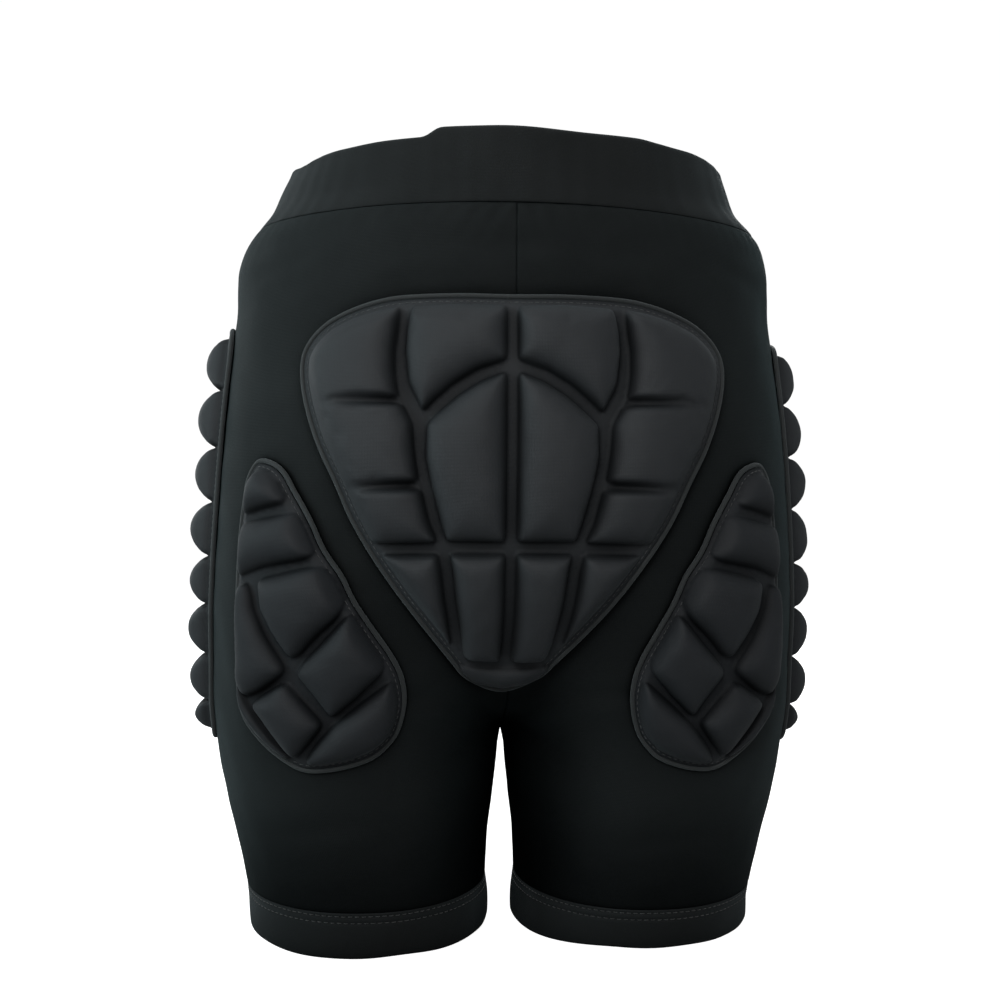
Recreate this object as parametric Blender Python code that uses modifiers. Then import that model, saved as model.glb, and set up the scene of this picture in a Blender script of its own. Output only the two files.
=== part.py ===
"""Padded impact shorts for snow sports: a stretch garment of four panels, a folded waistband over an
elastic, two leg hems, and five sewn-on guards (tailbone, two rear thighs, two hips).

Frame: +Z up to the waist, the rear of the garment faces -Y, +X is the right-hand side seen from the
rear. The leg hems rest on z = 0 and the outline is centred on x = 0, y = 0. Lengths are in metres;
tables and guard patterns are in millimetres and are converted where they meet the body.
"""

import math
from typing import NamedTuple

import bpy
import bmesh
import numpy as np
from mathutils import Vector
from mathutils.geometry import delaunay_2d_cdt

MM = 0.001
SIDES = (("right", 1.0), ("left", -1.0))    # name and sign of x

# ---------------------------------------------------------------- garment dimensions
SEAM_HALF = 0.35 * MM        # half of the gap at the centre and side seams
FABRIC = 1.5 * MM            # stretch knit, two layers at the seams
PANEL_FOOT = 25.5 * MM       # panels start just over the hem band
PANEL_HEAD = 385.6 * MM      # and stop just under the waistband
LOW_ROWS_HEAD = 98.5 * MM    # evenly spaced panel rows of the open leg end here
LOW_ROWS = 5
HIGH_ROWS = 12               # from the deepest crotch row up to the head
CROTCH_DEPTHS = np.array([0.0, 7.0, 17.0, 31.0, 50.0]) * MM   # to the rear, one panel row each
CROTCH_ROW_RISE = 0.01 * MM  # sets a crotch row just above the opening
PANEL_COLUMNS = 13
PANEL_RAYS = 161             # samples round a panel row before it is spaced evenly

HEM_HEIGHTS = [0.0, 0.013, 0.025]
HEM_WALL = 2.4 * MM
HEM_X_MIN = 3.0 * MM         # keeps the two hems apart
HEM_POINTS = 30

BAND_FOOT = 386.2 * MM
BAND_TOP = 423.2 * MM
BAND_RINGS = [0.398, 0.411]  # heights between foot and shoulder
BAND_SHOULDER = 419.5 * MM   # where the fold starts to turn in
FOLD_CHAMFER = 1.0 * MM
CASING_WALL = 1.2 * MM       # one wall of the folded waistband
CASING_WIDE = 5.4 * MM       # whole folded waistband
CASING_HEAD = 418.5 * MM     # top of the hollow inside the fold
ELASTIC_GAP = 0.5 * MM
ELASTIC_RISE = 1.4 * MM      # elastic's foot above the band's
ELASTIC_HEAD = 417.8 * MM
WAIST_POINTS = 36

# Body form, one row per height: z, outer half width of a leg, inner edge of a leg, depth to the rear,
# depth to the front, blend radius between the two legs (mm) and the superellipse exponent.
PROFILE = [
    (-20.0, 141.5, 6.5, 75.5, 73.5, 2.0, 2.10),
    (0.0, 141.8, 6.8, 76.0, 74.0, 2.0, 2.10),
    (12.0, 142.0, 7.2, 76.8, 74.8, 2.0, 2.10),
    (26.0, 144.0, 8.2, 79.0, 76.8, 2.0, 2.10),
    (45.0, 147.8, 7.8, 82.5, 79.8, 2.2, 2.10),
    (70.0, 154.0, 5.0, 87.2, 83.8, 2.6, 2.12),
    (95.0, 158.8, 2.4, 91.5, 86.8, 4.5, 2.15),
    (113.5, 160.8, 1.2, 95.0, 89.0, 9.0, 2.20),
    (130.0, 162.0, -6.0, 99.0, 91.0, 26.0, 2.25),
    (150.0, 162.0, -16.0, 103.5, 93.5, 45.0, 2.30),
    (175.0, 162.5, -28.0, 108.5, 96.0, 60.0, 2.32),
    (200.0, 162.0, -38.0, 112.0, 98.0, 70.0, 2.32),
    (240.0, 160.0, -48.0, 114.0, 99.0, 80.0, 2.32),
    (280.0, 157.2, -54.0, 112.0, 98.5, 85.0, 2.30),
    (320.0, 153.2, -58.0, 107.5, 96.5, 85.0, 2.25),
    (346.0, 150.8, -60.0, 104.5, 95.0, 85.0, 2.22),
    (360.0, 150.8, -63.0, 103.2, 94.8, 85.0, 2.18),
    (376.0, 146.8, -68.0, 101.5, 93.8, 85.0, 2.12),
    (388.0, 139.8, -75.0, 98.5, 91.5, 85.0, 2.08),
    (398.0, 131.2, -80.0, 96.0, 89.5, 85.0, 2.04),
    (411.0, 123.5, -85.0, 94.0, 88.0, 85.0, 2.02),
    (423.5, 117.2, -88.0, 93.0, 87.0, 85.0, 2.00),
    (440.0, 115.0, -88.0, 92.5, 86.5, 85.0, 2.00),
]
OUTER, INNER = 1, 2          # columns of PROFILE
DEPTH_BLEND = 12.0 * MM      # y scale over which the rear depth passes into the front depth
NEAR = 0.5 * MM              # start of a search, inside the form
FAR = 200.0 * MM             # end of a search, outside the form
PROBE = 0.2 * MM             # step for the form's gradient

# ---------------------------------------------------------------- guard dimensions, mm
FOAM_FOOT = 1.3              # heights above the form, outwards
FLANGE_LIFT = 3.0
PIPE_LIFT = 2.1
PIPE_RADIUS = 1.3
COVER_WALL = 0.8
FOAM_UNDER = 1.2             # foam top below the outside of the cover
RIM_INSET = 2.9              # cover's border, in from the guard's edge
SEAM_INSET = 3.9             # foam's border, in from the guard's edge
DOME_RISE = 0.3              # middle of a crownless cell above its shoulder
TAIL_BRIDGE = 20.0           # extra leg blend under the tailbone guard, which spans the cleft

CORNER_DEGREES = 32.0        # a sharper turn than this is kept when a loop is respaced
MITRE_LIMIT = 0.62           # least cosine used to lengthen a corner's inset
NORMAL_LIMIT = 0.6           # the same for the foam's offset
SPAN_SAMPLES = 12            # samples to each span of a smooth edge


class Style(NamedTuple):
    """How a guard is padded and meshed, in mm."""
    floor: float             # heights above the form: channel floor, shoulder, crown edge, crown
    shoulder: float
    crown_edge: float
    crown: float
    shoulder_in: float       # how far in from the cell's edge the shoulder and crown edge lie
    crown_in: float
    cell_step: float         # spacing of points along the three loops
    shoulder_step: float
    crown_step: float
    edge_points: int


TAIL_STYLE = Style(
    floor=5.2, shoulder=10.4, crown_edge=13.8, crown=15.2, shoulder_in=2.4, crown_in=6.5,
    cell_step=15.0, shoulder_step=18.0, crown_step=24.0, edge_points=48)
THIGH_STYLE = Style(
    floor=5.2, shoulder=9.4, crown_edge=11.8, crown=12.6, shoulder_in=2.0, crown_in=6.0,
    cell_step=13.0, shoulder_step=15.0, crown_step=18.0, edge_points=36)
HIP_STYLE = Style(
    floor=5.4, shoulder=9.6, crown_edge=12.6, crown=13.4, shoulder_in=2.4, crown_in=7.5,
    cell_step=17.0, shoulder_step=20.0, crown_step=18.0, edge_points=36)

# Tailbone guard, right half, as (x, z): outer edge from the top centre round to the tip, then
# the pillow cells between the stitched channels. The left half mirrors it.
TAIL_EDGE = [
    (0, 337), (28, 337.5), (54, 337), (68, 335), (81, 331), (92, 325.5), (100, 318), (104.5, 309),
    (105, 297), (102, 281), (96, 263), (88, 246), (80, 228), (70, 211), (58, 194), (46, 179),
    (34, 165), (27.5, 157.5), (22, 151), (14, 146), (6, 142.5), (0, 141.5),
]
TAIL_CELLS = {
    "top_inner": [(3.2, 330), (26, 331), (48.5, 330), (50.8, 318), (51.3, 308), (49.5, 293),
                  (43, 280.5), (38.5, 285.2), (29.3, 293), (17.2, 300.3), (3.2, 304.8)],
    "top_outer": [(55.2, 330), (66, 328.5), (78, 325), (88, 320), (94.5, 313.5), (98.3, 306.5),
                  (98.7, 297), (97, 287.6), (80, 288), (56.5, 288.8), (57.5, 298), (57.6, 309),
                  (56, 320)],
    "shield": [(3.2, 298.2), (15, 293.8), (25.7, 287.2), (34.3, 280), (40.8, 274), (41.2, 258.5),
               (38.3, 245.2), (34, 229), (31.3, 220.3), (3.2, 220.3)],
    "side_upper": [(55.5, 282.3), (78, 281.6), (95.6, 281), (91, 266), (83.5, 250), (81.5, 246.8),
                   (63, 248.3), (45.5, 248.8), (47.6, 258), (48.2, 274), (50.5, 279)],
    "side_lower": [(44, 242.2), (63, 241.8), (79, 240.2), (74, 229.5), (68, 218.5), (50, 219),
                   (36.5, 219.6), (40.5, 228)],
    "finger_inner": [(3.2, 213.8), (29.5, 213.6), (28.2, 207.5), (26.7, 193), (24.2, 178),
                     (21.8, 165.3), (20.8, 162.8), (3.2, 162.8)],
    "finger_outer": [(36.2, 213.2), (52, 212.8), (63.6, 212.3), (52.2, 197.1), (40, 182.6),
                     (30.6, 171.5), (29.2, 169.5), (30.8, 178), (33.3, 193), (34.7, 206)],
}
# Low crownless cell across the tip, right half.
TAIL_FLAP = [(0, 156.8), (12, 156.8), (21, 156.2), (17, 152), (10.3, 148.8), (0, 147.4)]
TAIL_FLAP_SHOULDER_IN = 1.6

# Rear thigh guard as (s, z), where s runs round the leg towards the crotch.
THIGH_ORIGIN = 75.0          # degrees round the leg where s = 0
THIGH_RATE = 1.9             # mm of s for each degree
THIGH_EDGE = [
    (-46, 258), (-36, 257), (-28, 252), (-21, 243), (-11, 229), (-2, 214), (8, 202), (17, 189),
    (30, 175), (42, 163), (51, 152), (57, 140), (59, 128), (57, 118), (47, 109), (32, 104),
    (13, 101), (0, 101.5), (-13, 107), (-28, 116.5), (-42, 129), (-48, 147), (-50.5, 167),
    (-53, 193), (-54.5, 217), (-54, 236), (-52.5, 249),
]
THIGH_CELLS = {
    "tip": [(-47, 246), (-42.5, 251), (-37, 250.5), (-31, 245.5), (-25, 237.3), (-36, 234.8),
            (-48, 231.5)],
    "upper": [(-48.5, 224.2), (-34, 227.2), (-18.5, 230), (-13.5, 222), (-7.5, 212), (-12, 210),
              (-31, 206.2), (-47.3, 200.5), (-48.5, 212)],
    "heart": [(-32, 197.5), (-20, 200.8), (-9, 203.6), (-2, 204), (4, 198.3), (10.5, 188.5),
              (8.3, 182), (-1, 171.5), (-6.3, 163.5), (-10, 162), (-20, 173), (-28.5, 185)],
    "strip": [(-46.8, 193.2), (-40.5, 195.5), (-38.5, 192), (-35, 183), (-26, 169.7),
              (-14.3, 156.6), (-13, 154), (-24, 144.8), (-34, 140.5), (-41, 147.5), (-42.3, 158),
              (-44.3, 172), (-45.8, 185)],
    "diamond": [(15.5, 182), (24.5, 171.5), (36, 159.5), (38, 156), (27, 142.8), (17.2, 133),
                (5, 144.5), (-4.5, 153.2), (-3, 157), (5, 167.5)],
    "lower": [(-11, 147), (-1, 138.5), (12, 127.8), (5.5, 118), (-1.3, 110.6), (-12.3, 121.5),
              (-27.5, 135.8), (-24, 138.6)],
    "crescent": [(-43, 145), (-33.2, 134.5), (-15.8, 118.3), (-5.5, 109.3), (-12, 112),
                 (-26.2, 121), (-38.2, 132)],
    "heel": [(45, 149), (50.5, 138.5), (52.5, 128), (50.5, 121.5), (43.5, 115), (30, 110),
             (13, 107), (6, 107.2), (12, 116.5), (20, 126.8), (32.5, 138.5)],
}
# Cells too narrow for the style's insets: (shoulder in, crown in), None for no crown.
THIGH_INSETS = {"tip": (THIGH_STYLE.shoulder_in, 5.0), "crescent": (1.2, None)}

# Hip guard: a stack of lobes. Joints run from the top down and differ between the sides.
HIP_ORIGIN = -2.0            # degrees round the leg of the guard's middle line
HIP_RATE = 2.0               # mm round the leg for each degree
HIP_JOINTS = {
    "right": [322.1, 292.3, 263, 234.3, 204.5, 179.4, 151.6, 124, 107.5],
    "left": [327, 297.3, 265.9, 236.3, 206.8, 180.5, 153.1, 127.3, 110.1],
}
HIP_END_MARGIN = 6.0         # edge beyond the first and last joints
HIP_HALF_TOP = 45.0          # half widths
HIP_HALF_MID = 56.0
HIP_HALF_FOOT = 47.0
HIP_CORNER = 16.0            # height of the rounded ends
HIP_SIDE_ROWS = 9
# Rounded end from the middle line outwards: (share of the half width, mm beyond the end).
HIP_END_CURVE = [(0.0, 1.0), (0.45, 0.6), (0.78, -3.0), (0.94, -8.0)]
LOBE_GAP_HALF = 1.1
LOBE_SIDE_MARGIN = 7.0       # lobe in from the edge at an inner joint
LOBE_END_MARGIN = 16.0       # and at the first and last joints
LOBE_CROWN_SHARE = 0.36      # most of a lobe's height that its crown may be set in

# ---------------------------------------------------------------- scene reset
for old in list(bpy.data.objects):
    bpy.data.objects.remove(old, do_unlink=True)

GARMENT = bpy.data.collections.new("padded_impact_shorts")
bpy.context.scene.collection.children.link(GARMENT)


# ---------------------------------------------------------------- materials
def material(name, colour, roughness, sheen=0.0):
    made = bpy.data.materials.new(name)
    made.use_nodes = True
    made.diffuse_color = (*colour, 1.0)
    shader = made.node_tree.nodes["Principled BSDF"]
    shader.inputs["Base Color"].default_value = (*colour, 1.0)
    shader.inputs["Roughness"].default_value = roughness
    shader.inputs["Sheen Weight"].default_value = sheen
    return made


KNIT = material("stretch_knit", colour=(0.016, 0.019, 0.019), roughness=0.85, sheen=0.3)
BAND = material("band_knit", colour=(0.018, 0.019, 0.019), roughness=0.85, sheen=0.3)
COVER = material("guard_cloth", colour=(0.026, 0.027, 0.030), roughness=0.6, sheen=0.4)
FOAM = material("eva_foam", colour=(0.09, 0.09, 0.10), roughness=0.8)
CORD = material("piping_cord", colour=(0.03, 0.033, 0.033), roughness=0.7, sheen=0.3)
ELASTIC = material("woven_elastic", colour=(0.60, 0.60, 0.58), roughness=0.8)


# ---------------------------------------------------------------- objects
def place(name, data, mat):
    data.materials.append(mat)
    obj = bpy.data.objects.new(name, data)
    GARMENT.objects.link(obj)
    return obj


def place_bmesh(name, bm, mat):
    mesh = bpy.data.meshes.new(name)
    bm.to_mesh(mesh)
    bm.free()
    return place(name, mesh, mat)


# ---------------------------------------------------------------- body form
def slopes(xs, ys):
    """Slopes at the table's points that keep a cubic through them monotone."""
    gap = np.diff(xs)
    rate = np.diff(ys) / gap
    made = np.empty_like(ys)
    made[0], made[-1] = rate[0], rate[-1]
    for i in range(1, len(ys) - 1):
        if rate[i - 1] * rate[i] <= 0:
            made[i] = 0.0
        else:
            before = 2 * gap[i] + gap[i - 1]
            after = gap[i] + 2 * gap[i - 1]
            made[i] = (before + after) / (before / rate[i - 1] + after / rate[i])
    return made


ROWS = np.array(PROFILE, float)
ROWS[:, :6] *= MM            # every column but the exponent
SLOPES = {column: slopes(ROWS[:, 0], ROWS[:, column]) for column in range(1, 7)}


def profile(column, z):
    """Monotone cubic through the table's column at the heights z."""
    xs, ys, slope = ROWS[:, 0], ROWS[:, column], SLOPES[column]
    z = np.asarray(z, float)
    i = np.clip(np.searchsorted(xs, z) - 1, 0, len(xs) - 2)
    gap = xs[i + 1] - xs[i]
    t = np.clip((z - xs[i]) / gap, 0, 1)
    t2, t3 = t * t, t * t * t
    return ((2 * t3 - 3 * t2 + 1) * ys[i] + (t3 - 2 * t2 + t) * gap * slope[i]
            + (3 * t2 - 2 * t3) * ys[i + 1] + (t3 - t2) * gap * slope[i + 1])


def leg_centre(z):
    return (profile(OUTER, z) + profile(INNER, z)) / 2


def form(x, y, z, bridge=0.0):
    """Signed distance, near enough, to the garment's outer surface: negative inside."""
    outer, inner, rear, front, blend, power = (profile(column, z) for column in range(1, 7))
    blend = blend + bridge
    centre = (outer + inner) / 2
    half = (outer - inner) / 2
    frontness = 1 / (1 + np.exp(-np.clip(y / DEPTH_BLEND, -30, 30)))
    depth = rear * (1 - frontness) + front * frontness

    def leg(along):
        u, v = np.abs(along - centre) / half, np.abs(y) / depth
        radius = (u**power + v**power) ** (1 / power)
        grow = np.sqrt((u ** (power - 1) / half) ** 2 + (v ** (power - 1) / depth) ** 2)
        # The small floors keep the divisions safe at the leg's centre.
        return (radius - 1) / np.maximum(grow / np.maximum(radius, 1e-9) ** (power - 1), 1e-6)

    right, left = leg(x), leg(-x)
    overlap = np.maximum(blend - np.abs(right - left), 0) / blend
    return np.minimum(right, left) - overlap * overlap * blend * 0.25


def outward(points, bridge=0.0):
    """Unit normals of the form at the points."""
    gradient = np.stack([form(*(points + step).T, bridge) - form(*(points - step).T, bridge)
                         for step in np.eye(3) * PROBE], axis=1)
    return gradient / np.linalg.norm(gradient, axis=1)[:, None]


def bisect(value, inside, outside, steps=46):
    """Where value crosses zero between inside (negative) and outside, element by element."""
    low, high = np.array(inside, float), np.array(outside, float)
    for _ in range(steps):
        middle = (low + high) / 2
        negative = value(middle) < 0
        low, high = np.where(negative, middle, low), np.where(negative, high, middle)
    return (low + high) / 2


def cast_from_leg(centre, ray_x, ray_y, z):
    """x and y where rays from the right leg's centre meet the form, kept out of the other leg."""
    limit = np.where(ray_x < -1e-6,
                     np.minimum((centre - SEAM_HALF) / np.maximum(-ray_x, 1e-6), FAR), FAR)
    reach = bisect(lambda r: form(centre + r * ray_x, r * ray_y, z), np.full(len(z), NEAR), limit)
    return centre + reach * ray_x, reach * ray_y


def round_leg(degrees, z, side=1.0):
    """Points on the form at an angle round the leg: 0 is outwards, 90 the rear."""
    angle = np.radians(degrees)
    x, y = cast_from_leg(leg_centre(z), np.cos(angle), -np.sin(angle), z)
    return np.stack([side * x, y, z], axis=1)


# ---------------------------------------------------------------- spacing along lines
def run_lengths(points):
    return np.concatenate([[0], np.cumsum(np.linalg.norm(np.diff(points, axis=0), axis=1))])


def spaced(points, count, endpoint=True):
    """Evenly spaced points along the open line."""
    run = run_lengths(points)
    want = np.linspace(0, run[-1], count, endpoint=endpoint)
    return np.stack([np.interp(want, run, column) for column in points.T], axis=1)


def even(loop, count):
    """Evenly spaced points round the closed loop."""
    return spaced(np.vstack([loop, loop[:1]]), count, endpoint=False)


# ---------------------------------------------------------------- panels
def row_heights():
    """Heights of the panel's rows, close together where the crotch seam turns under."""
    low = np.linspace(PANEL_FOOT, LOW_ROWS_HEAD, LOW_ROWS)
    # The search runs from the open gap between the legs up into the body.
    crotch = bisect(
        lambda z: -form(np.full(len(z), SEAM_HALF), -CROTCH_DEPTHS - SEAM_HALF, z),
        np.full(len(CROTCH_DEPTHS), 0.05), np.full(len(CROTCH_DEPTHS), 0.24))
    high = np.linspace(crotch[-1], PANEL_HEAD, HIGH_ROWS)[1:]
    return np.concatenate([low, crotch + CROTCH_ROW_RISE, high])


def panel_row(y_sign, z):
    """One row of a right-hand panel: from the side seam round to the inseam or the centre seam."""
    centre = float(leg_centre(z))
    seam_y = y_sign * SEAM_HALF
    side_x = bisect(lambda x: form(x, seam_y, z), centre, FAR)
    if form(SEAM_HALF, seam_y, z) < 0:
        end = (SEAM_HALF, bisect(lambda y: form(SEAM_HALF, y, z), seam_y, y_sign * FAR))
    else:
        end = (bisect(lambda x: form(x, seam_y, z), centre, 0.0), seam_y)
    angle = np.linspace(math.atan2(SEAM_HALF, side_x - centre),
                        math.atan2(y_sign * end[1], end[0] - centre), PANEL_RAYS)
    line = np.stack(cast_from_leg(centre, np.cos(angle), y_sign * np.sin(angle),
                                  np.full(PANEL_RAYS, z)), axis=1)
    line[0], line[-1] = (side_x, seam_y), end
    line[:, 0] = np.maximum(line[:, 0], SEAM_HALF)
    line[:, 1] = y_sign * np.maximum(y_sign * line[:, 1], SEAM_HALF)
    return np.column_stack([spaced(line, PANEL_COLUMNS), np.full(PANEL_COLUMNS, z)])


def panel(name, y_sign, side):
    heights = row_heights()
    points = np.array([panel_row(y_sign, z) for z in heights]) * (side, 1.0, 1.0)
    last_column, last_row = PANEL_COLUMNS - 1, len(heights) - 1
    bm = bmesh.new()
    bmesh.ops.create_grid(bm, x_segments=last_column, y_segments=last_row, size=1.0)
    for v in bm.verts:
        i = round((v.co.x + 1) / 2 * last_column)
        j = round((v.co.y + 1) / 2 * last_row)
        v.co = Vector(points[j, i])
    bm.normal_update()
    # The cloth thickens inwards, so the faces must look outwards.
    top_face = max(bm.faces, key=lambda f: f.calc_center_median().z)
    out = outward(np.array([top_face.calc_center_median()]))[0]
    if Vector(out).dot(top_face.normal) < 0:
        bmesh.ops.reverse_faces(bm, faces=bm.faces[:])
    cloth = place_bmesh(name, bm, KNIT).modifiers.new("cloth", "SOLIDIFY")
    cloth.thickness = FABRIC
    cloth.offset = -1.0
    cloth.use_rim = True


# ---------------------------------------------------------------- rings: waistband, elastic, hems
def waist_loop(z):
    angle = np.linspace(0, 2 * np.pi, 361)[:-1]
    ray_x, ray_y = np.cos(angle), np.sin(angle)
    heights = np.full(len(angle), z)
    reach = bisect(lambda r: form(r * ray_x, r * ray_y, heights),
                   np.full(len(angle), NEAR), np.full(len(angle), FAR))
    return even(np.stack([reach * ray_x, reach * ray_y], axis=1), WAIST_POINTS)


def leg_loop(z, side):
    degrees = np.linspace(0, 360, 361)[:-1]
    points = round_leg(degrees, np.full(len(degrees), z))
    points[:, 0] = np.maximum(points[:, 0], HEM_X_MIN)
    return even(points[:, :2] * (side, 1.0), HEM_POINTS)


def flat_normals(loop):
    """Outward normals of a level loop."""
    along = np.roll(loop, -1, axis=0) - np.roll(loop, 1, axis=0)
    normals = np.stack([along[:, 1], -along[:, 0]], axis=1)
    normals /= np.linalg.norm(normals, axis=1)[:, None]
    return normals if ((loop - loop.mean(axis=0)) * normals).sum() > 0 else -normals


def ring(name, body_loop, section, mat):
    """A closed ring round the body. The section is (depth in from the outside, height)."""
    bm = bmesh.new()
    verts = []
    for depth, z in section:
        loop = body_loop(z)
        loop = np.column_stack([loop - flat_normals(loop) * depth, np.full(len(loop), z)])
        verts.append([bm.verts.new(Vector(p)) for p in loop])
    count, around = len(verts), len(verts[0])
    for k in range(count):
        for i in range(around):
            j, m = (i + 1) % around, (k + 1) % count
            bm.faces.new((verts[k][i], verts[k][j], verts[m][j], verts[m][i]))
    bm.normal_update()
    bmesh.ops.recalc_face_normals(bm, faces=bm.faces[:])
    place_bmesh(name, bm, mat)


def up_and_down(up_depth, down_depth, heights):
    """Section points up one wall and down another."""
    return [(up_depth, z) for z in heights] + [(down_depth, z) for z in reversed(heights)]


def waistband_cover():
    rise = [BAND_FOOT, *BAND_RINGS]
    outside = up_and_down(0.0, CASING_WIDE, rise + [BAND_SHOULDER])
    fold = [(FOLD_CHAMFER, BAND_TOP), (CASING_WIDE - FOLD_CHAMFER, BAND_TOP)]
    crest = len(outside) // 2
    hollow = up_and_down(CASING_WIDE - CASING_WALL, CASING_WALL, rise + [CASING_HEAD])
    ring("waistband_cover", waist_loop, outside[:crest] + fold + outside[crest:] + hollow, BAND)


def waistband_elastic():
    depth = CASING_WALL + ELASTIC_GAP
    heights = [BAND_FOOT + ELASTIC_RISE, *BAND_RINGS, ELASTIC_HEAD]
    ring("waistband_elastic", waist_loop, up_and_down(depth, CASING_WIDE - depth, heights),
         ELASTIC)


def leg_hem(name, side):
    ring(name, lambda z: leg_loop(z, side), up_and_down(0.0, HEM_WALL, HEM_HEIGHTS), BAND)


# ---------------------------------------------------------------- guard patterns, in mm
def with_mirror(half):
    """A closed outline from its right half, which starts and ends on the middle line."""
    return half + [(-x, z) for x, z in reversed(half[1:-1])]


def anticlockwise(loop):
    loop = np.asarray(loop, float)
    x, y = loop[:, 0], loop[:, 1]
    area = (x * np.roll(y, -1) - np.roll(x, -1) * y).sum()
    return loop if area > 0 else loop[::-1]


def respaced(loop, step):
    """Points along the loop at about the step, with its sharp corners kept."""
    before = loop - np.roll(loop, 1, axis=0)
    after = np.roll(loop, -1, axis=0) - loop
    cross = np.abs(before[:, 0] * after[:, 1] - before[:, 1] * after[:, 0])
    turn = np.degrees(np.arctan2(cross, (before * after).sum(axis=1)))
    corners = np.flatnonzero(turn > CORNER_DEGREES)
    if len(corners) < 2:
        return even(loop, max(6, int(round(np.linalg.norm(after, axis=1).sum() / step))))
    made = []
    for first, last in zip(corners, np.roll(corners, -1)):
        span = (last - first) % len(loop)
        run = loop[[(first + i) % len(loop) for i in range(span + 1)]]
        parts = max(1, int(round(run_lengths(run)[-1] / step)))
        made.append(spaced(run, parts, endpoint=False))
    return np.vstack(made)


def inset(loop, distance):
    """The anticlockwise loop moved inwards, with long corners cut short."""
    before = loop - np.roll(loop, 1, axis=0)
    after = np.roll(loop, -1, axis=0) - loop
    before /= np.linalg.norm(before, axis=1)[:, None]
    after /= np.linalg.norm(after, axis=1)[:, None]
    normal_before = np.stack([-before[:, 1], before[:, 0]], axis=1)
    normal_after = np.stack([-after[:, 1], after[:, 0]], axis=1)
    mitre = normal_before + normal_after
    mitre /= np.maximum(np.linalg.norm(mitre, axis=1)[:, None], 1e-9)
    reach = distance / np.clip((mitre * normal_before).sum(axis=1), MITRE_LIMIT, 1.0)
    return loop + mitre * reach[:, None]


def smooth_loop(points, count):
    """A closed Catmull-Rom curve through the points, evenly spaced."""
    p = np.asarray(points, float)
    t = np.linspace(0, 1, SPAN_SAMPLES, endpoint=False)[:, None]
    made = []
    for i in range(len(p)):
        a, b, c, d = p[i - 1], p[i], p[(i + 1) % len(p)], p[(i + 2) % len(p)]
        made.append(0.5 * (2 * b + (c - a) * t + (2 * a - 5 * b + 4 * c - d) * t**2
                           + (3 * b - a - 3 * c + d) * t**3))
    return even(np.vstack(made), count)


def triangulate(loops):
    """Constrained triangles inside the first loop, through every loop. Returns the points, the
    faces and the number of the loop that each point comes from."""
    coords, edges, source = [], [], []
    for label, loop in enumerate(loops):
        first = len(coords)
        for p in loop:
            coords.append(Vector((float(p[0]), float(p[1]))))
            source.append(label)
        if len(loop) > 1:
            edges += [(first + i, first + (i + 1) % len(loop)) for i in range(len(loop))]
    outer = list(range(len(loops[0])))
    verts, _, faces, origins, _, _ = delaunay_2d_cdt(coords, edges, [outer], 1, 1e-4)
    points = np.array([[v.x, v.y] for v in verts])
    flat = np.array([[c.x, c.y] for c in coords])
    labels = []
    for p, origin in zip(points, origins):
        # A point made where loops cross has no origin and takes the nearest point's loop.
        i = origin[0] if origin else int(np.argmin(((flat - p) ** 2).sum(axis=1)))
        labels.append(source[i])
    return points, [list(f) for f in faces], labels


# ---------------------------------------------------------------- guard bodies
def two_sided(name, top, foot, faces, mat):
    """A closed body from a top sheet and a foot sheet with the same faces, and walls at the border."""
    bm = bmesh.new()
    upper = [bm.verts.new(Vector(p)) for p in top]
    lower = [bm.verts.new(Vector(p)) for p in foot]
    uses = {}
    for f in faces:
        for edge in zip(f, f[1:] + f[:1]):
            key = tuple(sorted(edge))
            uses[key] = uses.get(key, 0) + 1
    for f in faces:
        bm.faces.new([upper[v] for v in f])
        bm.faces.new([lower[v] for v in reversed(f)])
        for v, w in zip(f, f[1:] + f[:1]):
            if uses[tuple(sorted((v, w)))] == 1:
                bm.faces.new((upper[w], upper[v], lower[v], lower[w]))
    for v in [v for v in bm.verts if not v.link_faces]:
        bm.verts.remove(v)
    bmesh.ops.recalc_face_normals(bm, faces=bm.faces[:])
    place_bmesh(name, bm, mat)


def sheet_normals(points, faces, guide):
    """Vertex normals of a sheet, area weighted, on the side of the guide directions, and how much
    further a vertex has to move for every face round it to move by one."""
    normals = np.zeros_like(points)
    flats = []
    for f in faces:
        a, b, c = points[f[0]], points[f[1]], points[f[2]]
        flat = np.cross(b - a, c - a)
        for v in f:
            normals[v] += flat
        flats.append(flat / max(np.linalg.norm(flat), 1e-18))
    sign = np.where((normals * guide).sum(axis=1) < 0, -1.0, 1.0)
    length = np.linalg.norm(normals, axis=1)
    bad = length < 1e-14
    normals[bad], length[bad] = guide[bad], 1.0
    normals *= (sign / length)[:, None]
    least = np.ones(len(points))
    for f, flat in zip(faces, flats):
        for v in f:
            least[v] = min(least[v], sign[v] * float(flat @ normals[v]))
    return normals, 1 / np.clip(least, NORMAL_LIMIT, 1.0)


def piping(name, path):
    curve = bpy.data.curves.new(name, "CURVE")
    curve.dimensions = "3D"
    curve.bevel_depth = PIPE_RADIUS * MM
    curve.bevel_resolution = 1
    curve.use_fill_caps = True
    curve.twist_mode = "MINIMUM"
    line = curve.splines.new("POLY")
    line.points.add(len(path) - 1)
    for point, p in zip(line.points, path):
        point.co = (*p, 1.0)
    line.use_cyclic_u = True
    place(name, curve, CORD)


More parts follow.
